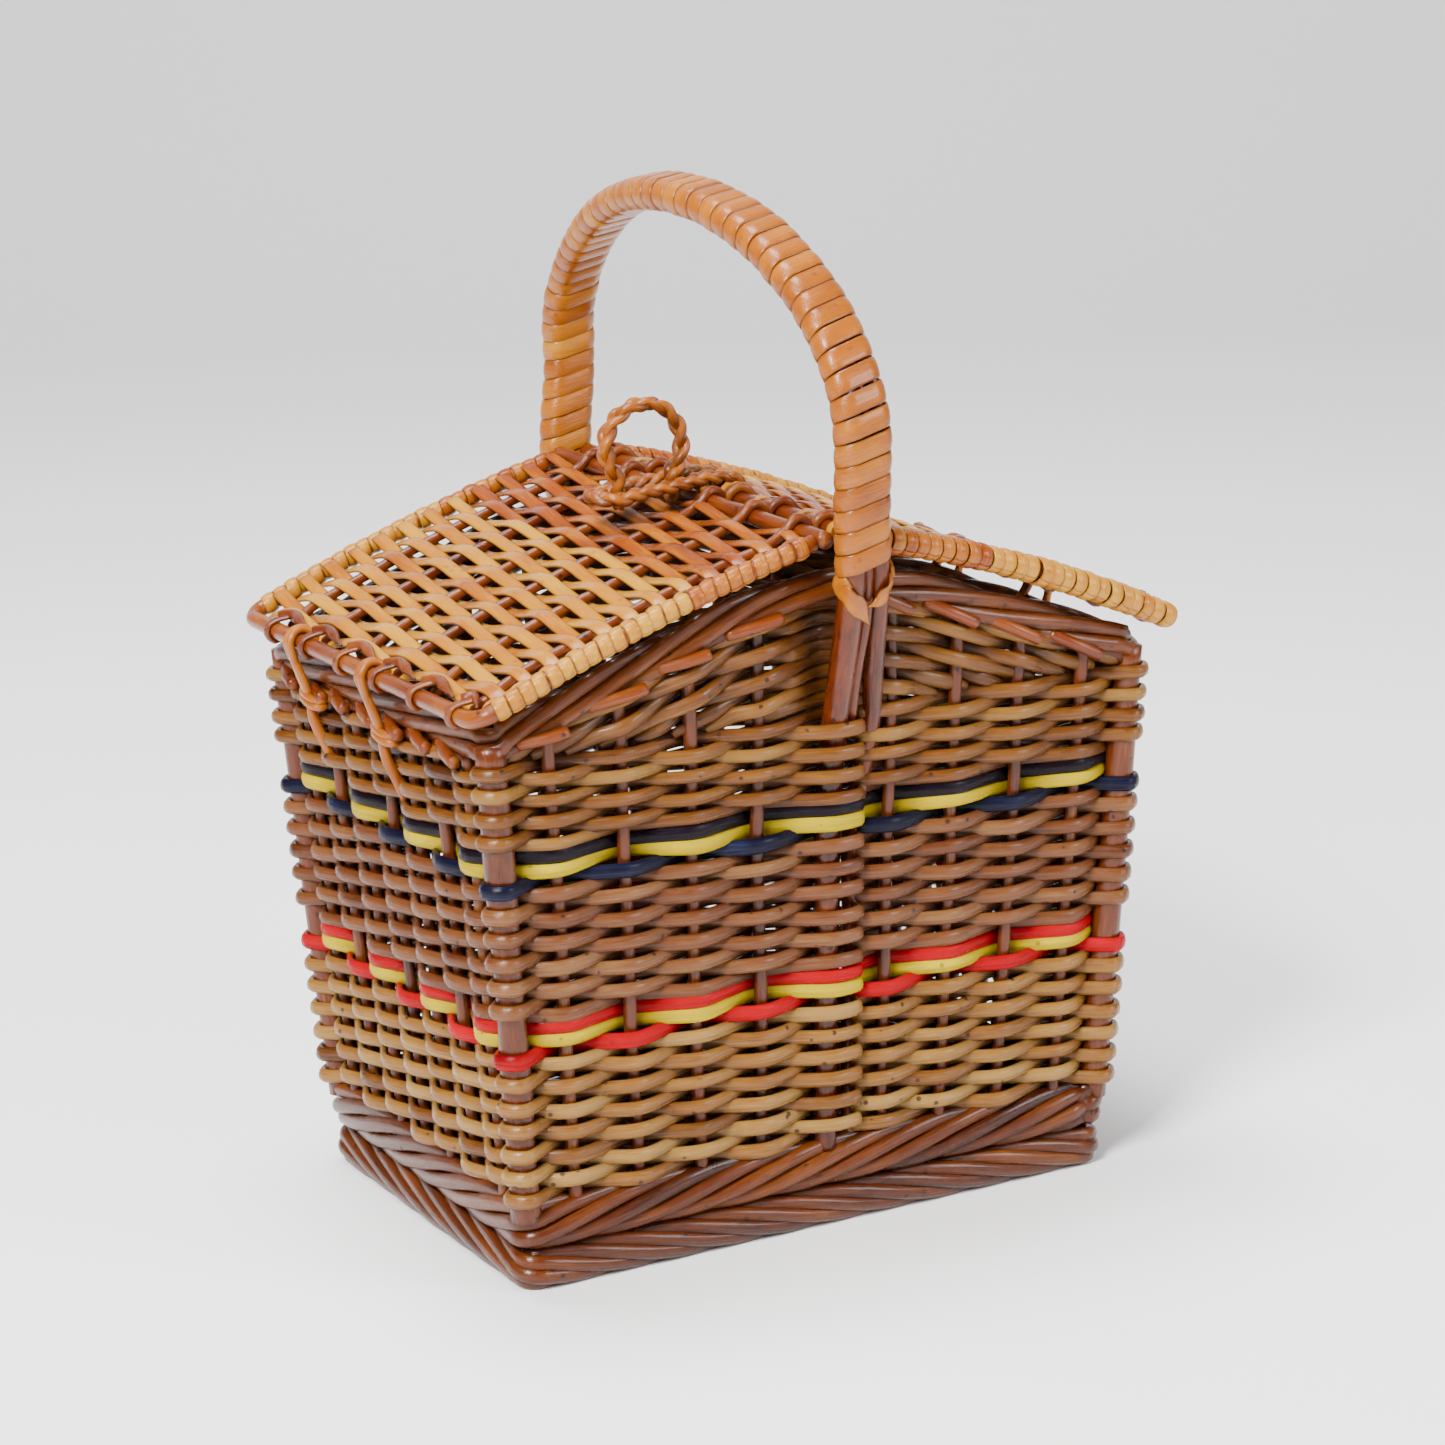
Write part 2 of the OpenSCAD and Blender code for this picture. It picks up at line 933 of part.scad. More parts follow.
hasp_loop();
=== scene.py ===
"""Lidded wicker basket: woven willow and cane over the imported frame."""
import math
import bpy
import numpy as np
from mathutils import Matrix, Vector


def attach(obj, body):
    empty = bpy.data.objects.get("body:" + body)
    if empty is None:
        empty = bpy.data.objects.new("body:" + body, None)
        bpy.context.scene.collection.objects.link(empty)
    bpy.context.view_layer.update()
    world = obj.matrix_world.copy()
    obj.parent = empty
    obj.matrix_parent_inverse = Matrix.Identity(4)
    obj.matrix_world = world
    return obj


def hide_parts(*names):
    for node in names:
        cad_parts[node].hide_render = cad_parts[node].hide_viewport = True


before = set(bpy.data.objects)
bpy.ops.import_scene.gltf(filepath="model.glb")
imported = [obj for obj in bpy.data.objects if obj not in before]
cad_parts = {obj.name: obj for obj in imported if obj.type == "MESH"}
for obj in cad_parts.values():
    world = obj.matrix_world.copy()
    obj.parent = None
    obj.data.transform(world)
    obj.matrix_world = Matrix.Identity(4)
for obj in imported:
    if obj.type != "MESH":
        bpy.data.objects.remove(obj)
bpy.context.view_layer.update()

MM = 0.001
PI = math.pi


# ---------------- sizes (mm)
EAVE_Z = 221                    # height of the eaves
BASE_X, BASE_Y = 136, 92        # half size of the body on the ground
FLARE_X, FLARE_Y = 14, 10.5     # how far each wall leans out up to the eaves
WALL_IN = 6                     # from the face of a wall to its middle
GABLE_TOP = 264
SLOPE = math.radians(19.65)
ROUND_U = 50                    # half length of the rounded top of a gable
ROUND_R = ROUND_U / math.sin(SLOPE)
ROUND_Z = GABLE_TOP - ROUND_R
SHOULDER_Z = ROUND_Z + ROUND_R * math.cos(SLOPE)


def half_x(z):
    return BASE_X + FLARE_X * z / EAVE_Z


def half_y(z):
    return BASE_Y + FLARE_Y * z / EAVE_Z


def turned(degrees):
    return math.cos(math.radians(degrees)), math.sin(math.radians(degrees))


def border_z(u):
    """Height of the middle of the gable border rod."""
    u = abs(u)
    if u <= ROUND_U:
        return ROUND_Z + math.sqrt(ROUND_R ** 2 - u * u)
    return SHOULDER_Z - (u - ROUND_U) * math.tan(SLOPE)


# ---------------- mesh tools
def unit(v):
    v = np.asarray(v, float)
    n = np.linalg.norm(v, axis=-1, keepdims=True)
    return v / np.maximum(n, 1e-9)


def spline(points, step, closed=False):
    """Catmull-Rom curve through the points, resampled at an even step."""
    p = np.asarray(points, float)
    if closed:
        p = np.vstack([p[-1], p, p[0], p[1]])
    else:
        p = np.vstack([2 * p[0] - p[1], p, 2 * p[-1] - p[-2]])
    out = []
    for i in range(1, len(p) - 2):
        a, b, c, d = p[i - 1], p[i], p[i + 1], p[i + 2]
        n = max(2, int(math.ceil(np.linalg.norm(c[:3] - b[:3]) / step)))
        t = (np.arange(n) / n)[:, None]
        out.append(0.5 * (2 * b + (c - a) * t + (2 * a - 5 * b + 4 * c - d) * t ** 2
                          + (3 * b - a - 3 * c + d) * t ** 3))
    if not closed:
        out.append(p[-2][None])
    return np.vstack(out)


def wobble(rng, n, size, waves=4):
    """Smooth random numbers along a strand."""
    t = np.linspace(0, 2 * PI, n)
    out = np.zeros(n)
    for k in range(1, waves + 1):
        out += rng.normal() * np.sin(k * t * rng.uniform(0.7, 1.5) + rng.uniform(0, 6.3)) / math.sqrt(waves)
    return out * size


class Bundle:
    """Strands gathered into one mesh, with tone, shade and grain along each."""

    def __init__(self, seed=1):
        self.rng = np.random.RandomState(seed)
        self.v, self.f, self.tone, self.shade, self.grain = [], [], [], [], []
        self.count = 0

    def tube(self, points, a, b, ref, sides=8, closed=False, tone=0.5, shade=1.0):
        """Sweep an oval, a across and b along ref, through the points."""
        p = np.asarray(points, float)
        n = len(p)
        if closed:
            t = unit(np.roll(p, -1, 0) - np.roll(p, 1, 0))
        else:
            t = unit(np.gradient(p, axis=0))
        ref = np.broadcast_to(np.asarray(ref, float), (n, 3))
        up = unit(ref - (ref * t).sum(1, keepdims=True) * t)
        side = np.cross(t, up)
        a = np.broadcast_to(np.asarray(a, float), n)[:, None, None]
        b = np.broadcast_to(np.asarray(b, float), n)[:, None, None]
        ang = np.arange(sides) * 2 * PI / sides
        cx, cy = np.cos(ang), np.sin(ang)
        ring = p[:, None, :] + side[:, None, :] * a * cx[None, :, None] + up[:, None, :] * b * cy[None, :, None]
        base = self.count
        verts = ring.reshape(-1, 3)
        length = np.concatenate([[0], np.cumsum(np.linalg.norm(np.diff(p, axis=0), axis=1))])
        rows = n if closed else n - 1
        i = np.arange(rows)[:, None]
        j = np.arange(sides)[None, :]
        i2, j2 = (i + 1) % n, (j + 1) % sides
        quads = np.stack([i * sides + j, i * sides + j2, i2 * sides + j2, i2 * sides + j], -1)
        self.f.extend((quads.reshape(-1, 4) + base).tolist())
        off = self.rng.uniform(0, 50)
        g = np.stack([np.repeat(length, sides) + off * 40, np.tile(ang, n),
                      np.full(n * sides, off)], -1)
        tone = np.broadcast_to(np.asarray(tone, float), n)
        shade = np.broadcast_to(np.asarray(shade, float), n)
        tv, sv = np.repeat(tone, sides), np.repeat(shade, sides)
        if not closed:
            ends = [p[0] - t[0] * float(b[0, 0, 0]) * 0.25, p[-1] + t[-1] * float(b[-1, 0, 0]) * 0.25]
            verts = np.vstack([verts, ends])
            last = (n - 1) * sides
            for k in range(sides):
                k2 = (k + 1) % sides
                self.f.append([base + k2, base + k, base + n * sides])
                self.f.append([base + last + k, base + last + k2, base + n * sides + 1])
            tv = np.append(tv, [tone[0] + 0.25, tone[-1] + 0.25])
            sv = np.append(sv, [shade[0], shade[-1]])
            g = np.vstack([g, g[:1], g[-1:]])
        self.v.append(verts)
        self.tone.append(tv)
        self.shade.append(sv)
        self.grain.append(g)
        self.count += len(verts)

    def build(self, name, material, body, nodes):
        mesh = bpy.data.meshes.new(name)
        v = np.vstack(self.v) * MM
        mesh.from_pydata(v.tolist(), [], self.f)
        for label, kind, key, data in (("tone", "FLOAT", "value", np.concatenate(self.tone)),
                                       ("shade", "FLOAT", "value", np.concatenate(self.shade)),
                                       ("grain", "FLOAT_VECTOR", "vector", np.vstack(self.grain))):
            layer = mesh.attributes.new(label, kind, "POINT")
            layer.data.foreach_set(key, data.astype(np.float32).ravel())
        mesh.polygons.foreach_set("use_smooth", [True] * len(mesh.polygons))
        mesh.materials.append(material)
        mesh.update()
        obj = bpy.data.objects.new(name, mesh)
        bpy.context.scene.collection.objects.link(obj)
        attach(obj, body)
        if nodes:
            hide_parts(*nodes)


# ---------------- materials
def willow(name, ramp, tint=(1, 1, 1), rough=0.25, coat=0.13, speck=0.9, grain=0.95, bump=0.5,
           shine=0.24):
    """Varnished willow or cane: fibres along each strand, knots, and painted shade in the crevices."""
    m = bpy.data.materials.new(name)
    m.use_nodes = True
    nt = m.node_tree
    nt.nodes.clear()
    new, link = nt.nodes.new, nt.links.new

    def node(kind, **values):
        n = new(kind)
        for k, val in values.items():
            if k in n.inputs:
                n.inputs[k].default_value = val
            else:
                setattr(n, k, val)
        return n

    def math_node(op, a, b=None, clamp=False):
        n = new("ShaderNodeMath")
        n.operation = op
        n.use_clamp = clamp
        for i, x in enumerate((a, b)):
            if x is None:
                continue
            if isinstance(x, (int, float)):
                n.inputs[i].default_value = x
            else:
                link(x, n.inputs[i])
        return n.outputs[0]

    def attribute(label, out="Fac"):
        n = new("ShaderNodeAttribute")
        n.attribute_name = label
        return n.outputs[out]

    ramp = [(pos, tuple(c * t for c, t in zip(col, tint))) for pos, col in ramp]
    out = new("ShaderNodeOutputMaterial")
    bsdf = node("ShaderNodeBsdfPrincipled")
    bsdf.inputs["Coat Weight"].default_value = coat
    bsdf.inputs["Coat Roughness"].default_value = 0.11
    bsdf.inputs["IOR"].default_value = 1.5
    bsdf.inputs["Specular IOR Level"].default_value = shine
    link(bsdf.outputs[0], out.inputs[0])
    tc = new("ShaderNodeTexCoord")
    g = attribute("grain", "Vector")
    stretch = node("ShaderNodeVectorMath", operation="MULTIPLY")
    link(g, stretch.inputs[0])
    stretch.inputs[1].default_value = (0.045, 1.9, 1.0)
    fibre = node("ShaderNodeTexNoise", Scale=2.2, Detail=6.0, Roughness=0.62)
    link(stretch.outputs[0], fibre.inputs["Vector"])
    slow = node("ShaderNodeVectorMath", operation="MULTIPLY")
    link(g, slow.inputs[0])
    slow.inputs[1].default_value = (0.016, 0.15, 1.0)
    patch = node("ShaderNodeTexNoise", Scale=1.6, Detail=3.0, Roughness=0.55)
    link(slow.outputs[0], patch.inputs["Vector"])
    tone = attribute("tone")
    t1 = math_node("MULTIPLY", math_node("SUBTRACT", fibre.outputs[0], 0.5), grain)
    t2 = math_node("MULTIPLY", math_node("SUBTRACT", patch.outputs[0], 0.5), 1.15)
    total = math_node("ADD", math_node("ADD", tone, t1), t2, clamp=True)
    cr = new("ShaderNodeValToRGB")
    cr.color_ramp.interpolation = "EASE"
    el = cr.color_ramp.elements
    el[0].position, el[0].color = ramp[0][0], (*ramp[0][1], 1)
    el[1].position, el[1].color = ramp[-1][0], (*ramp[-1][1], 1)
    for pos, col in ramp[1:-1]:
        e = el.new(pos)
        e.color = (*col, 1)
    link(total, cr.inputs[0])
    # dark knots in the skin
    spots = node("ShaderNodeTexVoronoi", Scale=165.0, Randomness=1.0)
    link(tc.outputs["Object"], spots.inputs["Vector"])
    pick = node("ShaderNodeTexNoise", Scale=70.0, Detail=2.0)
    link(tc.outputs["Object"], pick.inputs["Vector"])
    dot = math_node("LESS_THAN", spots.outputs["Distance"], 0.17)
    some = math_node("GREATER_THAN", pick.outputs[0], 0.56)
    knot = math_node("MULTIPLY", math_node("MULTIPLY", dot, some), speck)
    dark = new("ShaderNodeMix")
    dark.data_type = "RGBA"
    dark.blend_type = "MULTIPLY"
    link(cr.outputs[0], dark.inputs["A"])
    dark.inputs["B"].default_value = (0.16, 0.08, 0.05, 1)
    link(knot, dark.inputs["Factor"])
    # painted shade: the colour is darkened towards dark brown where the shade attribute is low, in crevices and
    # where strands pass inside
    painted_crease_shade = new("ShaderNodeMix")
    painted_crease_shade.data_type = "RGBA"
    painted_crease_shade.blend_type = "MULTIPLY"
    painted_crease_shade.inputs["B"].default_value = (0.10, 0.035, 0.015, 1)
    link(dark.outputs["Result"], painted_crease_shade.inputs["A"])
    link(math_node("SUBTRACT", 1.0, attribute("shade"), clamp=True), painted_crease_shade.inputs["Factor"])
    link(painted_crease_shade.outputs["Result"], bsdf.inputs["Base Color"])
    rn = math_node("MULTIPLY_ADD", patch.outputs[0], 0.22)
    rn.node.inputs[2].default_value = rough - 0.11
    link(math_node("ADD", rn, math_node("MULTIPLY", knot, 0.2)), bsdf.inputs["Roughness"])
    bp = node("ShaderNodeBump", Strength=bump, Distance=0.0006)
    mixed = math_node("SUBTRACT", fibre.outputs[0], math_node("MULTIPLY", knot, 0.8))
    link(mixed, bp.inputs["Height"])
    link(bp.outputs[0], bsdf.inputs["Normal"])
    return m


TAN_RAMP = [(0.0, (0.16, 0.065, 0.022)), (0.3, (0.33, 0.155, 0.055)), (0.55, (0.50, 0.27, 0.105)),
            (0.8, (0.62, 0.39, 0.17)), (1.0, (0.72, 0.52, 0.27))]
TAN = willow("tan_weaver", TAN_RAMP, (0.365, 0.275, 0.125))
WARM = willow("warm_weaver", TAN_RAMP, (0.27, 0.175, 0.06))
PINK = willow("brown_weaver", [(0.0, (0.17, 0.055, 0.022)), (0.35, (0.36, 0.150, 0.065)),
                               (0.65, (0.50, 0.245, 0.115)), (1.0, (0.66, 0.42, 0.22))], (0.26, 0.18, 0.11))
RED = willow("red_weaver", [(0.0, (0.12, 0.0, 0.002)), (0.5, (0.30, 0.0, 0.004)), (1.0, (0.42, 0.001, 0.008))],
             speck=0.25, grain=0.5, coat=0.03, shine=0.07)
YELLOW = willow("yellow_weaver", [(0.0, (0.16, 0.10, 0.0)), (0.5, (0.40, 0.29, 0.0)),
                                  (1.0, (0.56, 0.44, 0.003))],
                speck=0.5, grain=0.7, coat=0.03, shine=0.07)
NAVY = willow("navy_weaver", [(0.0, (0.003, 0.002, 0.005)), (0.5, (0.004, 0.004, 0.014)),
                              (1.0, (0.022, 0.028, 0.075))],
              rough=0.24, coat=0.05, speck=0.3, grain=0.6, shine=0.1)
PLUM = willow("plum_weaver", [(0.0, (0.003, 0.001, 0.003)), (0.5, (0.005, 0.002, 0.005)),
                              (1.0, (0.035, 0.02, 0.045))],
              rough=0.24, coat=0.05, speck=0.3, grain=0.6, shine=0.1)
DARK = willow("dark_rod", [(0.0, (0.10, 0.025, 0.009)), (0.4, (0.22, 0.062, 0.018)),
                           (0.7, (0.34, 0.110, 0.030)), (1.0, (0.50, 0.20, 0.065))],
              (0.29, 0.20, 0.07), rough=0.24, coat=0.2)
ROD = willow("orange_rod", [(0.0, (0.12, 0.03, 0.012)), (0.4, (0.30, 0.085, 0.028)),
                            (0.7, (0.45, 0.16, 0.05)), (1.0, (0.62, 0.30, 0.12))],
             (0.33, 0.18, 0.04), coat=0.2)
CANE = willow("wrapping_cane", [(0.0, (0.28, 0.075, 0.018)), (0.4, (0.48, 0.165, 0.035)),
                                (0.7, (0.60, 0.25, 0.060)), (1.0, (0.75, 0.40, 0.13))], (0.57, 0.435, 0.045),
              rough=0.26, coat=0.18, speck=0.3, grain=0.6)
SKEIN = willow("split_skein", [(0.0, (0.18, 0.045, 0.014)), (0.25, (0.38, 0.115, 0.030)),
                               (0.5, (0.56, 0.26, 0.075)), (0.75, (0.70, 0.43, 0.16)),
                               (1.0, (0.80, 0.60, 0.30))],
               (0.53, 0.325, 0.035), speck=0.4, grain=0.65, coat=0.12)
STAKE = willow("stake", [(0.0, (0.09, 0.028, 0.012)), (0.5, (0.26, 0.085, 0.034)), (1.0, (0.50, 0.24, 0.10))],
               (0.37, 0.23, 0.11))


# ---------------- the wall frame
LEG_U = 1.5        # X of the thick handle rod in the gables


def wall_places():
    """Stakes round the basket, counter-clockwise from the front left corner."""
    out = [("corner", -1, -1)]
    out += [("front", -0.8 + 0.2 * i, 0) for i in range(9)]
    out += [("corner", 1, -1)]
    out += [("right", -0.75 + 0.25 * i, 0) for i in range(7)]
    out += [("corner", 1, 1)]
    out += [("back", 0.8 - 0.2 * i, 0) for i in range(9)]
    out += [("corner", -1, 1)]
    out += [("left", 0.75 - 0.25 * i, 0) for i in range(7)]
    return out


PLACES = wall_places()
NORMAL = {"front": (0, -1), "right": (1, 0), "back": (0, 1), "left": (-1, 0)}
POST_R = 5.4
STAKE_R = 2.65
LEG_R = 4.8
LEG_GAP = 12.5     # from the thick handle rod to the side rod
CORNER_IN = 6.7    # from the faces of two walls to the corner post


def place(k, z):
    """Middle, outward direction and radius of stake k at height z."""
    kind, s, t = PLACES[k % len(PLACES)]
    if kind == "corner":
        n = unit((s, t))
        return np.array([s * (half_x(z) - CORNER_IN), t * (half_y(z) - CORNER_IN)]), n, POST_R
    n = np.array(NORMAL[kind], float)
    if kind in ("front", "back"):
        mid = abs(s) < 0.01
        x = LEG_U if mid else s * half_x(z)
        return np.array([x, n[1] * (half_y(z) - WALL_IN)]), n, (LEG_R if mid else STAKE_R)
    return np.array([n[0] * (half_x(z) - WALL_IN), s * half_y(z)]), n, STAKE_R


def ring_path(state, z_of, thick):
    """Control points of one closed row. state(k) is 1 in front, -1 behind, z_of(k) its height."""
    pts = []
    for k in range(len(PLACES)):
        z = z_of(k)
        c, n, r = place(k, z)
        s = state(k)
        corner = PLACES[k % len(PLACES)][0] == "corner"
        if corner and s > 0:
            for a in (-48, -16, 16, 48):
                ca, sa = turned(a)
                d = np.array([n[0] * ca - n[1] * sa, n[0] * sa + n[1] * ca])
                pts.append([*(c + d * (r + thick)), z])
        else:
            side = c + n * s * (r * (0.85 if s < 0 else 1.0) + thick)
            pair = [side, side + np.array([LEG_GAP, 0]) - n * s * 1.6] if r == LEG_R else [side]
            for q in (pair if n[1] < 0 else pair[::-1]):
                pts.append([*q, z])
        z2 = z_of(k + 1)
        c2, n2, _ = place(k + 1, z2)
        bias = STAKE_R + thick if s > 0 and state(k + 1) > 0 else 0.0
        pts.append([*((c + c2) / 2 + (n2 if corner else n) * bias), (z + z2) / 2])
    return np.array(pts)


def depth_shade(p):
    """Strands darken where they pass to the inside of the wall."""
    z = p[:, 2]
    inset = np.minimum(half_x(z) - np.abs(p[:, 0]), half_y(z) - np.abs(p[:, 1]))
    return np.clip(1.12 - np.maximum(inset - 2.5, 0) * 0.10, 0.35, 1)


def tones(rng, n, mid, spread, pieces=3):
    """Tone along a row that is laid in from several willow rods."""
    cuts = np.sort(rng.choice(np.arange(5, n - 5), pieces - 1, replace=False)) if pieces > 1 else []
    out = np.zeros(n)
    last = 0
    for c in list(cuts) + [n]:
        out[last:c] = mid + rng.normal() * spread
        last = c
    k = np.ones(5) / 5
    return np.convolve(np.pad(out, 2, mode="edge"), k, "valid")


def rand_row(bundle, z, phase, mid, spread, height, thick=1.8, uneven=0.45):
    """One plain woven row: over one stake and under the next."""
    rng = bundle.rng
    state = lambda k: 1 if (k + phase) % 2 == 0 else -1
    lift = rng.normal(0, uneven, len(PLACES))
    z_of = lambda k: z + lift[k % len(PLACES)]
    p = spline(ring_path(state, z_of, thick), 3.6, closed=True)
    n = len(p)
    a = height * (1 + wobble(rng, n, 0.07, 6))
    b = thick * (1 + wobble(rng, n, 0.06, 6))
    bundle.tube(p, b, a, (0, 0, 1), 10, closed=True, tone=tones(rng, n, mid, spread), shade=depth_shade(p))


def rows(name, material, z0, z1, count, mid, phase, node, slot, spread):
    b = Bundle(hash_of(name))
    step = (z1 - z0) / count
    for i in range(count):
        rand_row(b, z0 + step * (i + 0.5), phase + i, mid, spread, height=step * 0.62)
    b.build(name, material, "basket", [node])


def hash_of(name):
    return sum((i + 1) * ord(c) for i, c in enumerate(name)) % 100000


# ---------------- woven body
# name, material, bottom, top, rows, tone, phase, slot, spread of the tone
BANDS = (("lower_weave_rods", TAN, 36.8, 94.6, 12, 0.62, 0, "woven", 0.18),
         ("red_row_lower_rod", RED, 94.7, 99.7, 1, 0.5, 0, "red", 0.05),
         ("yellow_row_lower_rod", YELLOW, 99.7, 104.8, 1, 0.5, 1, "yellow", 0.05),
         ("red_row_upper_rod", RED, 104.8, 109.8, 1, 0.5, 1, "red", 0.05),
         ("middle_weave_rods", PINK, 109.8, 163.0, 11, 0.55, 1, "woven", 0.19),
         ("navy_row_lower_rod", NAVY, 163.0, 168.2, 1, 0.5, 0, "navy", 0.1),
         ("yellow_row_upper_rod", YELLOW, 168.2, 173.3, 1, 0.5, 1, "yellow", 0.05),
         ("navy_row_upper_rod", PLUM, 173.3, 178.6, 1, 0.4, 1, "navy", 0.1),
         ("upper_weave_rods", WARM, 178.6, 214.0, 8, 0.50, 1, "woven", 0.19))
for name, material, z0, z1, count, mid, phase, slot, spread in BANDS:
    rows(name, material, z0, z1, count, mid, phase, name.rsplit("_", 1)[0], slot + "_willow", spread)


def perimeter(z, inset, radius, step=4.0):
    """Rounded rectangle round the basket at a height, with its outward directions."""
    hx, hy = half_x(z) - inset, half_y(z) - inset
    pts, nor = [], []
    for cx, cy, a0 in ((hx - radius, -hy + radius, -90), (hx - radius, hy - radius, 0),
                       (-hx + radius, hy - radius, 90), (-hx + radius, -hy + radius, 180)):
        for a in np.linspace(a0, a0 + 90, 9):
            d = np.array([math.cos(math.radians(a)), math.sin(math.radians(a))])
            pts.append([cx + radius * d[0], cy + radius * d[1], z])
            nor.append([*d, 0])
    p, q, n = np.array(pts), [], []
    m = len(p)
    for i in range(m):
        a, c = p[i], p[(i + 1) % m]
        k = max(1, int(round(np.linalg.norm(c - a) / step)))
        for j in range(k):
            f = j / k
            q.append(a * (1 - f) + c * f)
            n.append(np.array(nor[i]) * (1 - f) + np.array(nor[(i + 1) % m]) * f)
    return np.array(q), unit(n)


def rope(bundle, p, normal, up, count, orbit_n, orbit_u, size, turns, mid, spread):
    """Rods rolled round one another along a path."""
    rng = bundle.rng
    d = np.linalg.norm(np.diff(p, axis=0), axis=1)
    s = np.concatenate([[0], np.cumsum(d)])
    total = s[-1] + np.linalg.norm(p[0] - p[-1])
    up = np.broadcast_to(np.asarray(up, float), p.shape)
    for m in range(count):
        ang = 2 * PI * (m / count + turns * s / total)
        q = p + normal * (orbit_n * np.cos(ang))[:, None] + up * (orbit_u * np.sin(ang))[:, None]
        n = len(q)
        a = size * (1 + wobble(rng, n, 0.06, 6))
        shade = np.clip(0.72 + 0.5 * np.cos(ang), 0.45, 1)
        bundle.tube(q, a * 0.86, a, up, 10, closed=True, tone=tones(rng, n, mid, spread, 4), shade=shade)


def foot():
    """Plait at the base: heavy rods slant one way above and the other way below."""
    b = Bundle(83)
    p, n = perimeter(8.4, 6.0, 5)
    rope(b, p, n, (0, 0, 1), 6, 3.0, 5.4, 3.25, -6.0, 0.42, 0.14)
    b.build("foot_border_rods", DARK, "basket", ["foot_border"])
    c = Bundle(71)
    p, n = perimeter(27.2, 6.0, 5)
    rope(c, p, n, (0, 0, 1), 6, 3.0, 7.2, 3.45, 5.5, 0.45, 0.14)
    c.build("upsett_wale_rods", DARK, "basket", ["upsett_wale"])


foot()


def base():
    b = Bundle(97)
    rng = b.rng
    for i in range(-3, 4):
        x = np.linspace(-121, 121, 30)
        p = np.stack([x, i * 22 + wobble(rng, 30, 0.6), np.full(30, 10.0)], -1)
        b.tube(p, 2.7, 2.7, (0, 0, 1), 8, tone=0.4 + rng.normal() * 0.1, shade=0.8)
    for j in range(50):
        x = -120 + j * 4.9
        y = np.arange(-79, 80, 3.6)
        z = 10 + 3.1 * np.cos(PI * (y / 22 + j))
        p = np.stack([np.full(len(y), x) + wobble(rng, len(y), 0.3), y, z], -1)
        b.tube(p, 2.35, 1.55, (0, 0, 1), 8, tone=0.5 + rng.normal() * 0.12, shade=0.85)
    b.build("base_weave", STAKE, "basket", ["base_panel", "base_sticks"])


base()


# ---------------- stakes, posts and gables
def wall_rod(bundle, k, z0, z1, radius, tone=0.5, sides=8):
    """Upright rod at a stake place, from z0 to z1."""
    rng = bundle.rng
    zs = np.arange(z0, z1 + 3, 6.0)
    zs[-1] = z1
    pts, refs = [], []
    for z in zs:
        c, n, _ = place(k, z)
        pts.append([*c, z])
        refs.append([*n, 0])
    p = np.array(pts)
    m = len(p)
    p[:, 0] += wobble(rng, m, 0.35, 3)
    p[:, 1] += wobble(rng, m, 0.25, 3)
    r = radius * (1 + wobble(rng, m, 0.04, 3))
    bundle.tube(p, r, r, np.array(refs), sides, tone=np.full(m, tone) + wobble(rng, m, 0.05, 3), shade=0.85)


def stakes(side, name, node):
    b = Bundle(hash_of(name))
    for k, (kind, s, _) in enumerate(PLACES):
        if kind != side:
            continue
        gable = side in ("front", "back")
        if gable and abs(s) < 0.01:
            continue
        top = border_z(s * 150) - 2 if gable else 217
        wall_rod(b, k, 32, top, STAKE_R * b.rng.uniform(0.92, 1.08), tone=0.5 + b.rng.normal() * 0.14)
    b.build(name, STAKE, "basket", [node])


def post(name, node, k):
    b = Bundle(hash_of(name))
    wall_rod(b, k, 30, 222, 5.9, 0.50, 14)
    b.build(name, STAKE, "basket", [node])


for side in ("front", "back", "left", "right"):
    stakes(side, side + "_stake_rods", side + "_stakes")
for name, k in (("front_left", 0), ("front_right", 10), ("back_right", 18), ("back_left", 28)):
    post(name + "_post_rods", name + "_post", k)


def gable_fill(sign, name, node):
    """Rows above the eaves that follow the slopes of the gable."""
    b = Bundle(hash_of(name))
    rng = b.rng
    place_u = np.arange(-5, 6) / 5 * 149
    for j in range(9):
        drop = 7.4 + j * 5.4
        us = [u for u in np.linspace(-143, 143, 120) if border_z(u) - drop > 214.5]
        if len(us) < 6:
            continue
        lo, hi = us[0], us[-1]
        cross = [lo] + [u for u in place_u if lo + 8 < u < hi - 8] + [hi]
        pts = []
        for i, u in enumerate(cross):
            k = int(round((u + 149) / 29.8)) + j
            r = LEG_R if abs(u) < 3 else STAKE_R
            if i in (0, len(cross) - 1):
                w = -1.0
            else:
                w = (r + 2.1) * (1 if k % 2 == 0 and abs(u) > 3 else -0.9)
            uu = LEG_U if abs(u) < 3 else u
            z = border_z(uu) - drop + rng.normal() * 0.4
            y = half_y(z) - WALL_IN + w
            pts.append([uu, sign * y, z])
            if i < len(cross) - 1:
                u2 = (u + cross[i + 1]) / 2
                z2 = border_z(u2) - drop + rng.normal() * 0.3
                pts.append([u2, sign * (half_y(z2) - WALL_IN), z2])
        p = spline(pts, 3.8)
        n = len(p)
        taper = np.clip(np.minimum(np.arange(n), np.arange(n)[::-1]) / 6 + 0.55, 0, 1)
        a = 3.05 * taper * (1 + wobble(rng, n, 0.08, 5))
        shade = np.clip(1.1 - np.maximum(half_y(240) - np.abs(p[:, 1]) - 3.0, 0) * 0.1, 0.4, 1)
        b.tube(p, a * 0.68, a, (0, 0, 1), 10, tone=tones(rng, n, 0.52, 0.14, 2), shade=shade)
    b.build(name, WARM, "basket", [node])


gable_fill(-1, "front_gable_rods", "front_gable_weave")
gable_fill(1, "back_gable_rods", "back_gable_weave")


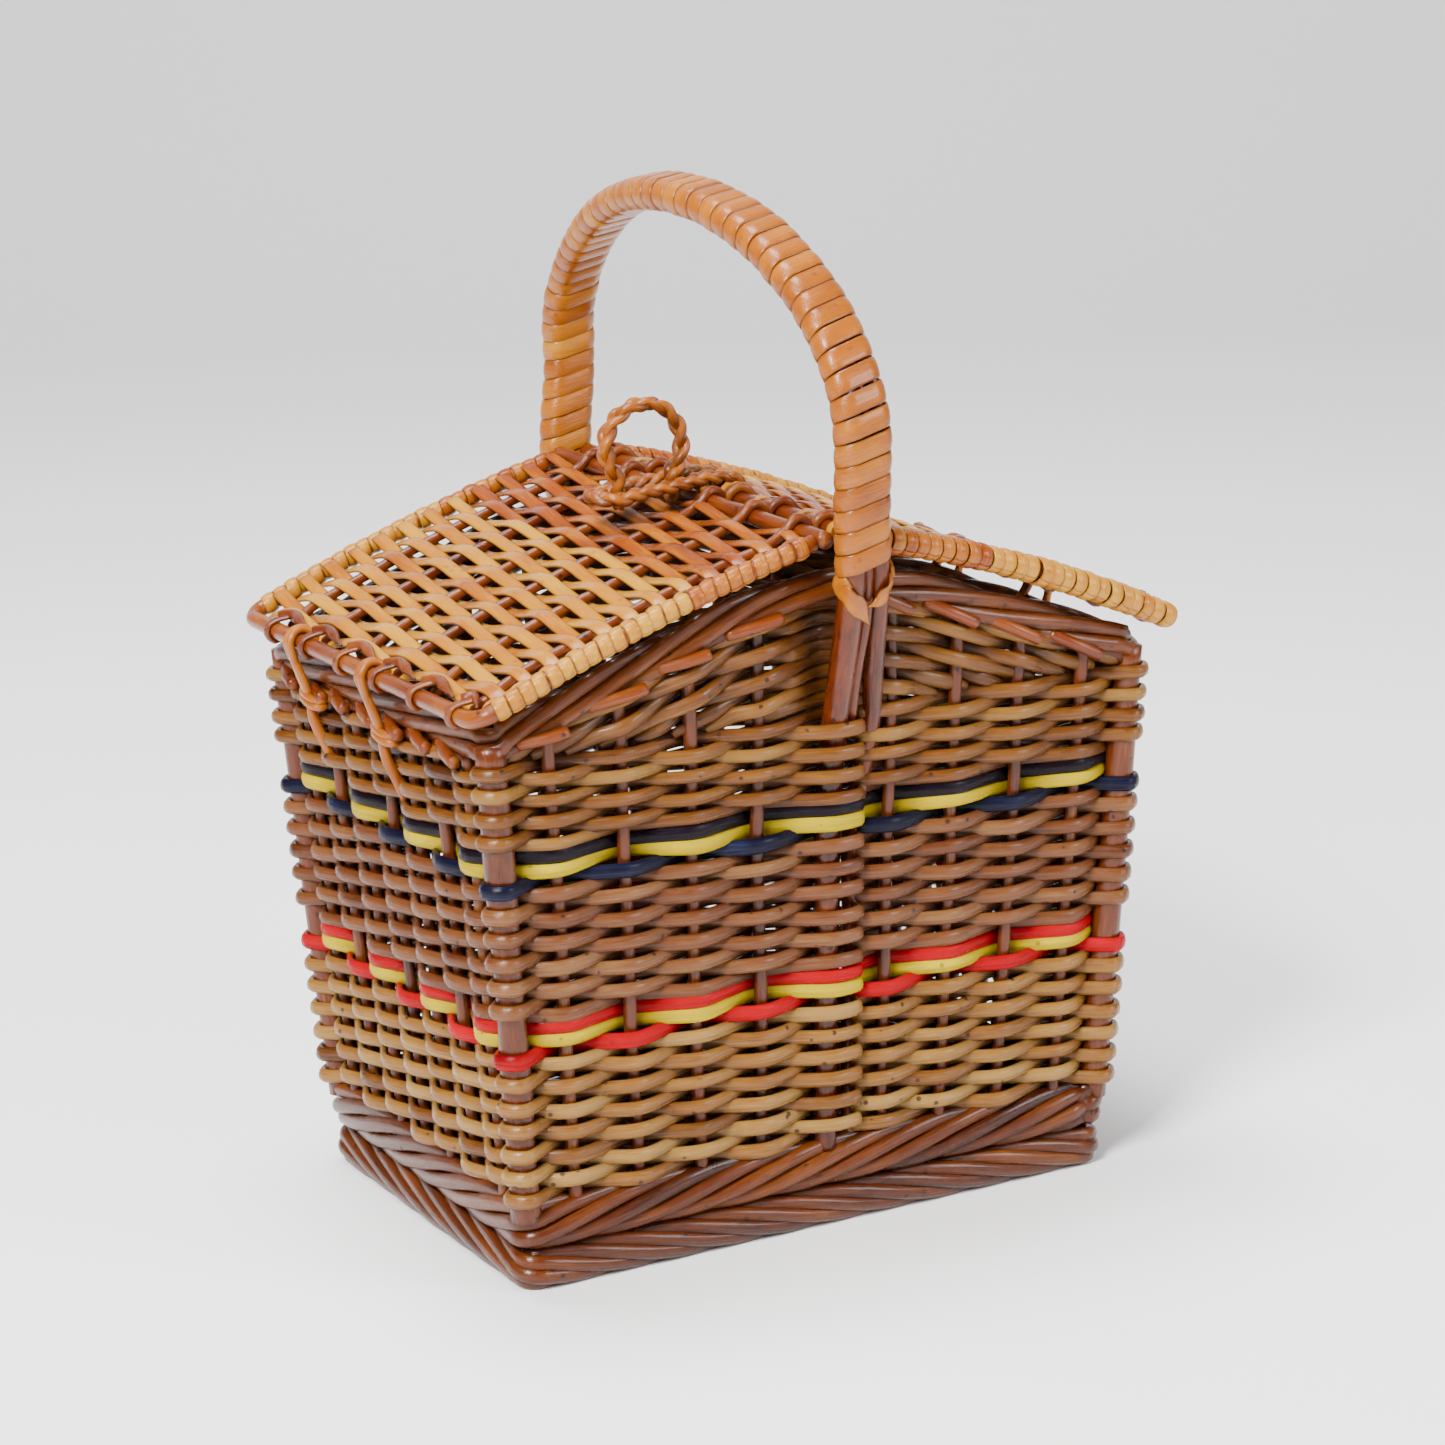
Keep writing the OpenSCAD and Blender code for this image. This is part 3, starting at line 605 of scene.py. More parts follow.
# ---------------- top border
def border_path():
    """Closed line of the top border with outward and upward directions."""
    pts, nor, ups = [], [], []
    for sign in (-1, 1):
        for u in np.linspace(-138, 138, 70):
            x = -sign * u
            z = border_z(x)
            pts.append([x, sign * (half_y(z) - WALL_IN), z])
            nor.append([0, sign, 0])
            g = border_z(x + 0.5) - border_z(x - 0.5)
            ups.append(unit([-g, 0, 1]))
        sx = -sign
        corner = [turned(a) for a in np.linspace(15, 75, 4)]
        for c, s in corner:
            pts.append([sx * (137.5 + 7 * s), sign * (89.5 + 7 * c), 222.0 - 1.5 * s])
            nor.append([sx * s, sign * c, 0])
        for f in np.linspace(0, 1, 44):
            pts.append([sx * 144.2, sign * (88 - 176 * f), 221.3])
            nor.append([sx, 0, 0])
        for c, s in corner[::-1]:
            pts.append([sx * (137.5 + 7 * s), -sign * (89.5 + 7 * c), 222.0 - 1.5 * s])
            nor.append([sx * s, -sign * c, 0])
        ups.extend([[0, 0, 1]] * (len(pts) - len(ups)))
    return np.array(pts), unit(np.array(nor)), unit(np.array(ups))


def top_border():
    p, nor, up = border_path()
    b = Bundle(131)
    rope(b, p, nor, up, 4, 2.8, 4.5, 3.3, 5, 0.62, 0.16)
    b.build("top_border_rods", DARK, "basket",
            ["front_gable_border", "back_gable_border", "left_eave_border", "right_eave_border"])
    c = Bundle(137)
    rng = c.rng
    for kind, s, _ in PLACES:
        if kind == "corner" or (kind in ("front", "back") and abs(s) < 0.01):
            continue
        n = np.array([*NORMAL[kind], 0.0])
        along = np.array([-n[1], n[0], 0.0])
        if kind in ("front", "back"):
            x = s * 148
            z = border_z(x) - 6.5
            mid = np.array([x, n[1] * (half_y(z) - WALL_IN), z])
            slope = unit(along - np.array([0, 0, 1.0]) * math.tan(SLOPE) * math.copysign(1, x))
        else:
            mid = np.array([n[0] * (half_x(214) - WALL_IN), s * 98, 213.5])
            slope = along
        a = mid + n * 2.0 - slope * 16 + np.array([0, 0, 2.5])
        e = mid + n * rng.uniform(6.6, 7.6) + slope * rng.uniform(3, 8) - np.array([0, 0, 0.6])
        q = spline([a, (a + e) / 2 + n * 1.2, e], 2.5)
        c.tube(q, 2.7, 2.5, (0, 0, 1), 12, tone=0.55 + rng.normal() * 0.12)
    c.build("border_rod_ends", ROD, "basket", [])


top_border()


# ---------------- bow handle
LEAN, TURN = math.radians(6.3), math.radians(2.3)
REACH, LEG_H, RISE, SHOULDER = 124.0, 48.0, 88.5, 65.0
REACH_IN = REACH - SHOULDER
TOP_R = (REACH ** 2 - 2 * REACH * SHOULDER + RISE ** 2) / (2 * (RISE - SHOULDER))
DROP = TOP_R - RISE
SH_ANG = math.atan2(DROP, REACH_IN)


BOW_X, BOW_Z = 5, 270
NEAR_SHIFT, FAR_SHIFT = -4.9, 2.7    # each leg's foot along X
FOOT_IN = 3.8                        # each leg's foot towards the middle
FAR_BEND = 11.5                      # the far shoulder stands this much more upright


def bow_point(dx, y, h):
    """Point of the bow: dx across the grip, y along it, h above the gables."""
    x1 = dx * math.cos(LEAN) - h * math.sin(LEAN)
    z1 = dx * math.sin(LEAN) + h * math.cos(LEAN)
    low = min(max(1 - h / 75, 0), 1.03)
    low = low * low * (3 - 2 * min(low, 1))
    x1 += (FAR_SHIFT if y > 0 else NEAR_SHIFT) * low
    t = min(max((h - 10) / 52, 0), 1)
    share = np.interp(y, (-124, -95, -60, 0, 60, 110), (0.0, 0.30, 0.35, 0.20, 0.55, 1.0))
    x1 += FAR_BEND * t * t * (3 - 2 * t) * share
    z1 += 1.6 * t
    y -= FOOT_IN * low * math.copysign(1, y)
    return np.array([BOW_X + x1 * math.cos(TURN) - y * math.sin(TURN),
                     x1 * math.sin(TURN) + y * math.cos(TURN), BOW_Z + z1])


def bow_line(step=1.0, low=0.0):
    """Middle line of the bow in its own plane: y, height, outward y, outward height."""
    out = []
    for h in np.arange(low, LEG_H, step):
        out.append((-REACH, h, -1, 0))
    for a in np.arange(0, SH_ANG, step / SHOULDER):
        c, s = math.cos(a), math.sin(a)
        out.append((-REACH_IN - SHOULDER * c, LEG_H + SHOULDER * s, -c, s))
    for a in np.arange(SH_ANG, PI - SH_ANG, step / TOP_R):
        c, s = math.cos(a), math.sin(a)
        out.append((-TOP_R * c, LEG_H - DROP + TOP_R * s, -c, s))
    for a in np.arange(SH_ANG, 0, -step / SHOULDER):
        c, s = math.cos(a), math.sin(a)
        out.append((REACH_IN + SHOULDER * c, LEG_H + SHOULDER * s, c, s))
    for h in np.arange(LEG_H, low, -step):
        out.append((REACH, h, 1, 0))
    return np.array(out)


def bow_frame(line):
    p = np.array([bow_point(0, y, h) for y, h, _, _ in line])
    o = np.array([bow_point(0, y + 10 * a, h + 10 * c) for y, h, a, c in line]) - p
    w = np.array([bow_point(10, y, h) for y, h, _, _ in line]) - p
    return p, unit(o), unit(w)


def gable_point(u, z, w, sign):
    return np.array([u, sign * (half_y(z) + w), z])


def bow_rod(name, node, dx, foot_u, wall_u, r_low, r_high, z_in, depth=0.0, tone=0.5):
    """One rod of the handle: legs out of the wall, then round inside the wrap."""
    b = Bundle(hash_of(name))
    rng = b.rng
    line = bow_line(6.0, 2.0)
    p, _, w = bow_frame(line)
    mid = p + w * dx
    low = []
    for sign in (-1, 1):
        top = bow_point(dx, sign * REACH, 0)
        inner = gable_point(wall_u - (0 if sign < 0 else 7), 204, -6.5, sign)
        pts = [gable_point(foot_u, z, -6 if r_low > 4 else -8.5, sign) for z in z_in]
        rise = top - inner
        pts += [inner, inner + rise * 0.42, inner + rise * 0.74 + np.array([0, sign * depth, 0])]
        low.append(pts)
    pts = np.vstack([low[0], mid, low[1][::-1]])
    q = spline(pts, 5)
    n = len(q)
    ref = np.stack([np.zeros(n), q[:, 1], np.maximum(q[:, 2] - 318, 0) * 1.6], -1)
    r = np.clip(np.interp(q[:, 2], [0, 200, 300], [r_low, r_high, r_high]), 0.5, 9)
    b.tube(q, r, np.where(q[:, 2] > 262, np.minimum(r, 4.7), r), ref, 12,
           tone=np.full(n, tone) + wobble(rng, n, 0.08, 8), shade=np.where(q[:, 2] < 205, 0.85, 1.0))
    b.build(name, ROD, "basket", [node])


bow_rod("bow_rod_thick", "bow_thick_rod", -5.3, 1.6, 4.6, 4.8, 5.3, (33, 60, 120, 165), tone=0.24)
bow_rod("bow_rod_slim", "bow_slim_rod", 1.6, 6.5, 11.4, 1.0, 2.3, (), 1.5, tone=0.5)
bow_rod("bow_rod_side", "bow_side_rod", 7.0, 14.5, 21.0, 3.0, 4.0, (33, 60, 120, 165), tone=0.26)


GRIP_W, GRIP_D = 11.0, 6.0    # half width and half depth of the grip


def grip_outline(t, half_w, half_d):
    """Point and outward direction on a flat bar with round sides; t runs once round."""
    r = half_d
    flat = 2 * (half_w - r)
    total = 2 * flat + 2 * PI * r
    s = (t % 1.0) * total
    if s < flat:
        return (s - flat / 2, half_d, 0, 1)
    s -= flat
    if s < PI * r:
        a = PI / 2 - s / r
        return (flat / 2 + r * math.cos(a), r * math.sin(a), math.cos(a), math.sin(a))
    s -= PI * r
    if s < flat:
        return (flat / 2 - s, -half_d, 0, -1)
    s -= flat
    a = -PI / 2 - s / r
    return (-flat / 2 + r * math.cos(a), r * math.sin(a), math.cos(a), math.sin(a))


def strap(bundle, centre, across, normal, half, thick, tone, shade=1.0, crown=0.35):
    """Flat cane laid along a path: across is its width direction, normal its outer side."""
    n = len(centre)
    half = np.broadcast_to(np.asarray(half, float), n)
    left = [(-1, -1.0), (-1.0, -0.15), (-0.8, 0.0), (-0.35, crown)]
    prof = left + [(-a, c) for a, c in left[::-1]]
    ring = np.stack([centre + across * (half * a)[:, None] + normal * (thick * c) for a, c in prof], 1)
    base, m = bundle.count, len(prof)
    i = np.arange(n - 1)[:, None]
    j = np.arange(m)[None, :]
    j2 = (j + 1) % m
    quads = np.stack([i * m + j, i * m + j2, (i + 1) * m + j2, (i + 1) * m + j], -1).reshape(-1, 4)
    bundle.f.extend((quads + base).tolist())
    bundle.f.append([base + k for k in range(m)][::-1])
    bundle.f.append([base + (n - 1) * m + k for k in range(m)])
    s = np.concatenate([[0], np.cumsum(np.linalg.norm(np.diff(centre, axis=0), axis=1))])
    off = bundle.rng.uniform(0, 50)
    g = np.stack([np.repeat(s, m) + off * 40, np.tile([a * 1.2 for a, _ in prof], n), np.full(n * m, off)], -1)
    bundle.v.append(ring.reshape(-1, 3))
    # painted shade: each strap darkens towards its two edges, where it meets the next strap
    edge = np.tile([0.45, 0.6, 0.92, 1, 1, 0.92, 0.6, 0.45], n)
    bundle.tone.append(np.repeat(np.broadcast_to(np.asarray(tone, float), n), m))
    bundle.shade.append(np.repeat(np.broadcast_to(np.asarray(shade, float), n), m) * edge)
    bundle.grain.append(g)
    bundle.count += n * m


def handle_wrap():
    b = Bundle(151)
    rng = b.rng
    line = bow_line(0.5, -2.0)
    p, o, w = bow_frame(line)
    seg = np.concatenate([[0], np.cumsum(np.linalg.norm(np.diff(p, axis=0), axis=1))])
    total = seg[-1]
    pitch = 8.5
    turns = int((total - 8) / pitch) - 1
    per = 40
    lifts = rng.uniform(-0.1, 0.5, turns + 2)
    hues = 0.50 + rng.normal(0, 0.10, turns + 2)
    cen, acr, nor, tone = [], [], [], []
    for i in range(per * turns + 1):
        k, t = i // per, i / per % 1.0
        x, d, nx, nd = grip_outline(t + 0.62, GRIP_W, GRIP_D)
        blend = t * t * (3 - 2 * t)
        lift = lifts[k] * (1 - blend) + lifts[k + 1] * blend
        s = 4.0 + (i / per + 0.5) * pitch + 0.3 * math.sin(0.37 * i / per) * math.sin(2 * PI * t)
        f = min(np.interp(s, seg, np.arange(len(seg))), len(seg) - 2)
        i0 = int(f)
        c = p[i0] * (1 - f + i0) + p[i0 + 1] * (f - i0)
        grow = 0.35 + lift * 0.8
        cen.append(c + w[i0] * (x + nx * grow) + o[i0] * (d + nd * grow))
        nor.append(w[i0] * nx + o[i0] * nd)
        acr.append(unit(p[min(i0 + 3, len(p) - 1)] - p[max(i0 - 3, 0)]))
        tone.append(hues[k] * (1 - blend) + hues[k + 1] * blend)
    cen, nor, acr = np.array(cen), unit(np.array(nor)), unit(np.array(acr))
    step = unit(np.gradient(cen, axis=0))
    acr = unit(acr - (acr * step).sum(1, keepdims=True) * step)
    strap(b, cen, acr, nor, 4.1, 1.25, np.array(tone), crown=0.26)
    b.build("handle_cane_wrap", CANE, "basket", ["handle_wrap"])


handle_wrap()


def ribbon(bundle, pts, normals, half, thick, tone, step=2.0, point=0.0, shade=1.0):
    """Flat cane through points that carry their outer direction."""
    q = spline(np.hstack([np.asarray(pts, float), np.asarray(normals, float)]), step)
    c, n = q[:, :3], unit(q[:, 3:])
    t = unit(np.gradient(c, axis=0))
    n = unit(n - (n * t).sum(1, keepdims=True) * t)
    a = np.cross(t, n)
    m = len(c)
    h = np.full(m, float(half))
    if point:
        left = np.linalg.norm(c - c[-1], axis=1)
        h = h * np.clip(left / point, 0.12, 1)
    strap(bundle, c, a, n, h, thick, np.full(m, tone) + wobble(bundle.rng, m, 0.04, 3), shade)


def tails():
    for sign, name, node in ((-1, "front_tail_cane", "front_wrap_tail"),
                             (1, "back_tail_cane", "back_wrap_tail")):
        b = Bundle(hash_of(name))
        line = [(sign * REACH, h, sign, 0) for h in (0.0, 1.0)]
        p, o, w = bow_frame(line)
        c, o, w = p[0], o[0], w[0]
        down = unit(gable_point(4, 215, 0, sign) - c)
        for s, ends, tone in ((-1, (6.0, -18.0), 0.60), (1, (1.0, -10.0), 0.50)):
            pts, nor = [], []
            deep = 6.2 if s < 0 else 5.6
            for a, d, g in ((10.6, 4.0, 2.0), (11.4, 0.5, -1.0), (10.0, -4.0, deep * 0.75), (5.0, -9.0, deep),
                            (-ends[0] * 0.2, ends[1], deep)):
                side = np.array(w) * (s * a)
                pts.append(c + side + down * (-d) + o * g)
                nor.append(o * (0.25 if a > 9 else 1.0) + w * (s * (1.0 if a > 9 else 0.1)))
            ribbon(b, pts, nor, 3.9, 1.1, tone, 1.5, point=9.0)
        b.build(name, CANE, "basket", [node])


tails()


# ---------------- lids
HINGE_X, HINGE_Z, RIDGE_X, RIDGE_Z = 154.0, 234.5, 6.5, 285.5
WRAP_STEP = 5.85     # pitch of the wraps on the lids' edges
CHORD = math.hypot(HINGE_X - RIDGE_X, RIDGE_Z - HINGE_Z)
PITCH = math.atan2(RIDGE_Z - HINGE_Z, HINGE_X - RIDGE_X)
BOW = {-1: 3.5, 1: 4.6}     # rise of each lid above its chord
EDGE = 108.0                # from the middle to a lid's gable edge
LID_ROD = 3.5
LID_Y = [-91 + 34 * i for i in range(6)]


class Lid:
    """Coordinates on a lid: x from the hinge rod to the ridge rod, y of the basket, z off the sheet."""

    def __init__(self, sx):
        self.sx = sx
        self.along = np.array([-sx * math.cos(PITCH), 0, math.sin(PITCH)])
        self.up = np.array([sx * math.sin(PITCH), 0, math.cos(PITCH)])
        self.hinge = np.array([sx * HINGE_X, 0, HINGE_Z])

    def rise(self, x):
        return BOW[self.sx] * (1 - ((x - CHORD / 2) / (CHORD / 2)) ** 2)

    def at(self, x, y, z=0.0):
        return self.hinge + self.along * x + self.up * (z + self.rise(x)) + np.array([0, y, 0])

    def normal(self, x):
        g = -2 * BOW[self.sx] * (x - CHORD / 2) / (CHORD / 2) ** 2
        return unit(self.up - self.along * g)


def lid_frame(lid, name, nodes, ridge_node):
    """Outer rod bent round at the corners, and the ridge rod."""
    b = Bundle(hash_of(name))
    rng = b.rng
    turn = 9 if lid.sx < 0 else 4.5
    half = [(turn * (1 - s), EDGE - turn * (1 - c)) for c, s in map(turned, (70, 45, 20))]
    half += [(x, EDGE) for x in np.linspace(16, CHORD - 4, 12)]
    pts = [lid.at(x, -y) for x, y in half[::-1]]
    for y in np.linspace(-EDGE + 11, EDGE - 11, 12):
        pts.append(lid.hinge + np.array([0, y, 0]) + lid.up * rng.normal() * 0.15)
    pts += [lid.at(x, y) for x, y in half]
    p = spline(pts, 4)
    n = len(p)
    r = LID_ROD * (1 + wobble(rng, n, 0.03, 8))
    b.tube(p, r, r, lid.up, 12, tone=0.72 + wobble(rng, n, 0.08, 8))
    b.build(name + "_rod", ROD, LID_BODY[lid.sx], nodes)
    c = Bundle(hash_of(name) + 1)
    q = np.array([lid.at(CHORD, y) + lid.up * c.rng.normal() * 0.15 for y in np.linspace(-111, 111, 24)])
    q = spline(q, 4)
    c.tube(q, LID_ROD, LID_ROD, lid.up, 12, tone=0.55 + wobble(c.rng, len(q), 0.1, 6))
    c.build(name + "_ridge_pole", ROD, LID_BODY[lid.sx], [ridge_node])


def lid_stakes(lid, name, node):
    """Round stakes, wrapped over the hinge rod and laid back beside it."""
    b = Bundle(hash_of(name))
    rng = b.rng
    for y0 in LID_Y:
        tone = 0.62 + rng.normal() * 0.1
        pts = []
        for a in np.linspace(-60, 130, 7):                       # round the ridge rod
            c, s = turned(a)
            if a < 100:
                middle = lid.at(CHORD, y0 + 3.2 - 1.6 * (a + 60) / 90)
                pts.append(middle + lid.along * 5.2 * c + lid.up * 5.2 * s)
        pts.append(lid.at(CHORD - 7, y0 + 0.6, 1.5))
        for x in np.linspace(CHORD - 18, 18, 8):
            pts.append(lid.at(x, y0 + rng.normal() * 0.5, 0))
        pts.append(lid.at(9, y0, -2.0))
        for a in (265, 220, 175, 130, 85):                       # under and over the hinge rod
            c, s = turned(a)
            middle = lid.hinge + np.array([0, y0 - (250 - a) * 0.012, 0])
            pts.append(middle + lid.along * 4.4 * c + lid.up * 4.4 * s)
        pts.append(lid.at(7.0, y0 - 5.5, 3.6))
        q = spline(pts, 2.4)
        n = len(q)
        r = 2.15 * (1 + wobble(rng, n, 0.04, 5))
        at_hinge = (q - lid.hinge) @ lid.along < 7
        r *= np.where(at_hinge, 0.55, 1.0)
        b.tube(q, r, np.where(at_hinge, r * 1.8, r), (0, 1, 0), 9,
               tone=np.full(n, tone) + wobble(rng, n, 0.06, 4), shade=0.95)
        reach = min(27, y0 + EDGE - 4)
        tail = [lid.at(x, y0 - dy, z) for x, dy, z in
                ((3.5, 1.5, 5.0), (7.5, 0.24 * reach, 4.2), (5.8, 0.6 * reach, 3.8), (3.6, reach, 3.8))]
        t = spline(tail, 2.4)
        m = len(t)
        taper = np.clip(np.arange(m)[::-1] / 6, 0.25, 1)
        b.tube(t, 2.3 * taper, 1.9 * taper, lid.up, 9, tone=tone - 0.1)
    b.build(name, ROD, LID_BODY[lid.sx], [node])


def lid_skeins(lid, name, node, edge_node):
    """Flat split skeins along the ridge direction, over and under the stakes."""
    b = Bundle(hash_of(name))
    rng = b.rng
    count = 24
    x0, x1 = 9.0, CHORD - 6.5
    step = (x1 - x0) / (count - 1)
    split = 0.62
    for i in range(count):
        x = x0 + i * step
        f = i / (count - 1)
        warm = f > split + rng.normal() * 0.03
        tone = (0.36 if warm else 0.80) + rng.normal() * 0.07
        if not warm and rng.rand() < 0.12:
            tone = 0.55
        pts, nor = [], []
        ys = [-EDGE - 0.5] + LID_Y + [EDGE + 0.5]
        for j, y in enumerate(ys):
            s = 1 if (i + j) % 2 == 0 else -1
            inner = 0 < j < len(ys) - 1
            dx = rng.normal() * 0.35
            if inner:
                pts.append(lid.at(x + dx, y, s * 2.95))
            else:
                pts.append(lid.at(x + dx, y * (EDGE - 3.2) / (EDGE + 0.5), s * 3.6))
            nor.append(lid.normal(x))
            if j < len(ys) - 1:
                pts.append(lid.at(x + dx * 0.5, (y + ys[j + 1]) / 2, 0))
                nor.append(lid.normal(x))
        ribbon(b, pts, nor, 3.0 + rng.normal() * 0.15, 0.95, tone, 4.0)
    b.build(name, SKEIN, LID_BODY[lid.sx], [node])
    # wraps round the two gable edges
    w = Bundle(hash_of(name) + 7)
    rng = w.rng
    for sign in (-1, 1):
        start = 11 if lid.sx < 0 else 3
        n_wrap = int((CHORD - start - 3) / WRAP_STEP)
        for k in range(n_wrap):
            x = start + k * WRAP_STEP
            f = k / n_wrap
            tone = (0.42 if f > split else 0.86) + rng.normal() * 0.06
            lift = rng.uniform(0.1, 0.7)
            skew = rng.normal() * 0.5 + 0.8 * sign
            pts, nor = [], []
            for a in np.linspace(-35, 325, 15):
                c, s = turned(a)
                g = (3.6 if lid.sx < 0 else 4.9) + lift
                out = np.array([0, sign * c, 0]) + lid.normal(x) * s
                pts.append(lid.at(x + skew * c, sign * EDGE) + out * g)
                nor.append(out)
            ribbon(w, pts, nor, 2.75, 0.95, tone, 2.2)
    w.build(name + "_edge_wraps", SKEIN, LID_BODY[lid.sx], [edge_node])


LID_BODY = {-1: "left_lid", 1: "right_lid"}
for sx, side in ((-1, "left"), (1, "right")):
    lid = Lid(sx)
    lid_frame(lid, side + "_lid_frame",
              [side + "_lid_eave_rod", side + "_lid_front_rod", side + "_lid_back_rod"], side + "_lid_ridge_rod")
    lid_stakes(lid, side + "_lid_stake_rods", side + "_lid_stakes")
    lid_skeins(lid, side + "_lid_skeins", side + "_lid_weave", side + "_lid_edge_wraps")


def ridge_ties():
    """Narrow cane ties on the open ridge rod."""
    lid = Lid(1)
    b = Bundle(211)
    rng = b.rng
    for y in (-99, -74, -40, 28, 62, 96):
        pts, nor = [], []
        for a in np.linspace(-170, 190, 16):
            c, s = turned(a)
            out = lid.along * c + lid.up * s
            pts.append(lid.at(CHORD, y + 1.2 * c) + out * (3.9 + 0.3 * rng.rand()))
            nor.append(out)
        ribbon(b, pts, nor, 1.9, 0.9, 0.85, 2.0)
    b.build("right_ridge_ties", SKEIN, "right_lid", ["right_lid_ridge_wraps"])


ridge_ties()


# ---------------- ring, hasp and hinge loops
RING = np.array([-28.0, -6.0, 309.0])
RING_R = 16.8
HASP_ROOT = np.array([6.5, -6.0, 285.5])
HASP_TIP = -53
HASP_HALF = 8.5
LOOP_Y = (-16.0, 53.0)


def braid(bundle, p, nor, binor, size, pitch, tone, strands=3, width=2.3, depth=1.15, flat=0.8):
    """Strands plaited round a path, crossing like a flat braid."""
    rng = bundle.rng
    s = np.concatenate([[0], np.cumsum(np.linalg.norm(np.diff(p, axis=0), axis=1))])
    for k in range(strands):
        ph = 2 * PI * (s / pitch + k / strands)
        q = p + binor * (width * np.sin(ph))[:, None] + nor * (depth * np.sin(2 * ph))[:, None]
        n = len(q)
        r = size * (1 + wobble(rng, n, 0.06, 5))
        # painted shade: each strand darkens where it dips under the others
        dip_shade = np.clip(0.85 + 0.35 * np.sin(2 * ph), 0.5, 1)
        hue = np.full(n, tone + rng.normal() * 0.08) + wobble(rng, n, 0.06, 4)
        bundle.tube(q, r, r * flat, nor, 9, tone=hue, shade=dip_shade)


def staple():
    b = Bundle(223)
    pts, nor = [], []
    drop = RING_R * math.cos(PI / 4)
    for f in np.linspace(0, 1, 5)[:-1]:
        pts.append(RING + np.array([-drop, 0, -drop - 12 * (1 - f)]))
        nor.append([-1, 0, 0])
    for a in np.linspace(225, -45, 60):
        c, s = turned(a)
        pts.append(RING + np.array([RING_R * c * 1.02, 0.4 * math.sin(a * 0.05), RING_R * s]))
        nor.append([c, 0, s])
    for f in np.linspace(0, 1, 5)[1:]:
        pts.append(RING + np.array([drop, 0, -drop - 12 * f]))
        nor.append([1, 0, 0])
    q = spline(np.hstack([pts, nor]), 1.1)
    p, n = q[:, :3], unit(q[:, 3:])
    binor = np.broadcast_to(np.array([0, 1.0, 0]), p.shape)
    braid(b, p, n, binor, 2.35, 27, 0.28)
    b.build("ring_braid", CANE, "left_lid", ["staple_ring"])


def hasp():
    b = Bundle(227)
    top = HASP_ROOT + np.array([0, 0, 8.3])
    bend_x = HASP_TIP + 3.2 + HASP_HALF
    tip_z = top[2] - 3.6
    pts = []
    for sign in (1, -1):
        leg = []
        for a in (-40, 0, 40, 75):
            c, s = turned(a)
            leg.append(HASP_ROOT + np.array([7.6 * c, sign * (5.5 + 0.01 * a), 7.6 * s]))
        for x, drop, w in ((-4, -0.4, 0.85), (-14, 0.6, 0.95), (-24, 1.4, 1.0), (-34, 2.4, 1.0)):
            leg.append(np.array([x, HASP_ROOT[1] + sign * HASP_HALF * w, top[2] - drop]))
        pts.append(leg)
    arc = [np.array([bend_x + HASP_HALF * c, HASP_ROOT[1] + HASP_HALF * s, tip_z])
           for c, s in map(turned, (95, 120, 150, 180, 210, 240, 265))]
    line = pts[0] + arc + pts[1][::-1]
    p = spline(line, 1.1)
    t = unit(np.gradient(p, axis=0))
    nor = np.broadcast_to(np.array([0, 0, 1.0]), p.shape).copy()
    away = p - HASP_ROOT
    near = np.clip(1 - (np.linalg.norm(away[:, [0, 2]], axis=1) - 8) / 4, 0, 1)[:, None]
    nor = unit(nor * (1 - near) + unit(away * np.array([1, 0, 1])) * near)
    nor = unit(nor - (nor * t).sum(1, keepdims=True) * t)
    bi = np.cross(t, nor)
    braid(b, p, nor, bi, 2.2, 21, 0.24)
    for y in (-16, -10.5, -1.5, 4):
        ring = [HASP_ROOT + np.array([5.4 * math.cos(a), y + 6 + 0.8 * math.sin(a), 5.4 * math.sin(a)])
                for a in np.linspace(0, 2 * PI, 18)[:-1]]
        b.tube(spline(ring, 1.6, closed=True), 1.5, 1.5, (0, 1, 0), 8, closed=True, tone=0.75)
    b.build("hasp_braid", CANE, "hasp", ["hasp_loop"])


def hinge_loops(sx, name, node):
    """Twisted double cane from the eave, over the hinge rod and down to a knot."""
    b = Bundle(hash_of(name))
    rng = b.rng
    hinge = np.array([sx * HINGE_X, 0, HINGE_Z])
    for y0 in LOOP_Y:
        for m in range(2):
            off = (m - 0.5) * 3.1
            pts = [np.array([sx * x, y0 + off * f, z]) for x, f, z in ((143, 0.3, 226.0), (147.3, 0.6, 231.5))]
            for a in (160, 110, 60, 10, -25):
                c, s = turned(a)
                y = y0 + off * (0.7 + 0.3 * turned(a * 2)[0])
                pts.append(hinge + np.array([sx * 5.5 * c, y, 5.5 * s]))
            for x, f, dy, z in ((156.5, 0.2, 0.5, 224.5), (153.9, 0.6, 1.0, 217.0), (151.9, 0.3, 1.0, 211.0)):
                pts.append(np.array([sx * x, y0 - off * f - dy, z]))
            q = spline(pts, 1.6)
            b.tube(q, 1.75, 1.6, (0, 1, 0), 9, tone=0.34 + rng.normal() * 0.06)
        tail = [np.array([sx * x, y0 - dy, z]) for x, dy, z in
                ((151.6, 1.0, 212), (150.6, 1.5, 202), (147.0, 2.0, 193), (143.0, 2, 184))]
        b.tube(spline(tail, 2.5), 2.3, 1.7, (0, 1, 0), 9, tone=0.25)
        for j in range(2):
            knot = []
            for a in np.linspace(0, 2 * PI, 15)[:-1]:
                knot.append(np.array([sx * (150.2 + 3.4 * math.cos(a)), y0 - 1 + 7.2 * math.sin(a),
                                      210.0 + 2.7 * j + 1.4 * math.sin(a)]))
            b.tube(spline(knot, 2.0, closed=True), 1.6, 1.7, (0, 0, 1), 9, closed=True,
                   tone=0.38 + rng.normal() * 0.05)
    b.build(name, CANE, "basket", [node])


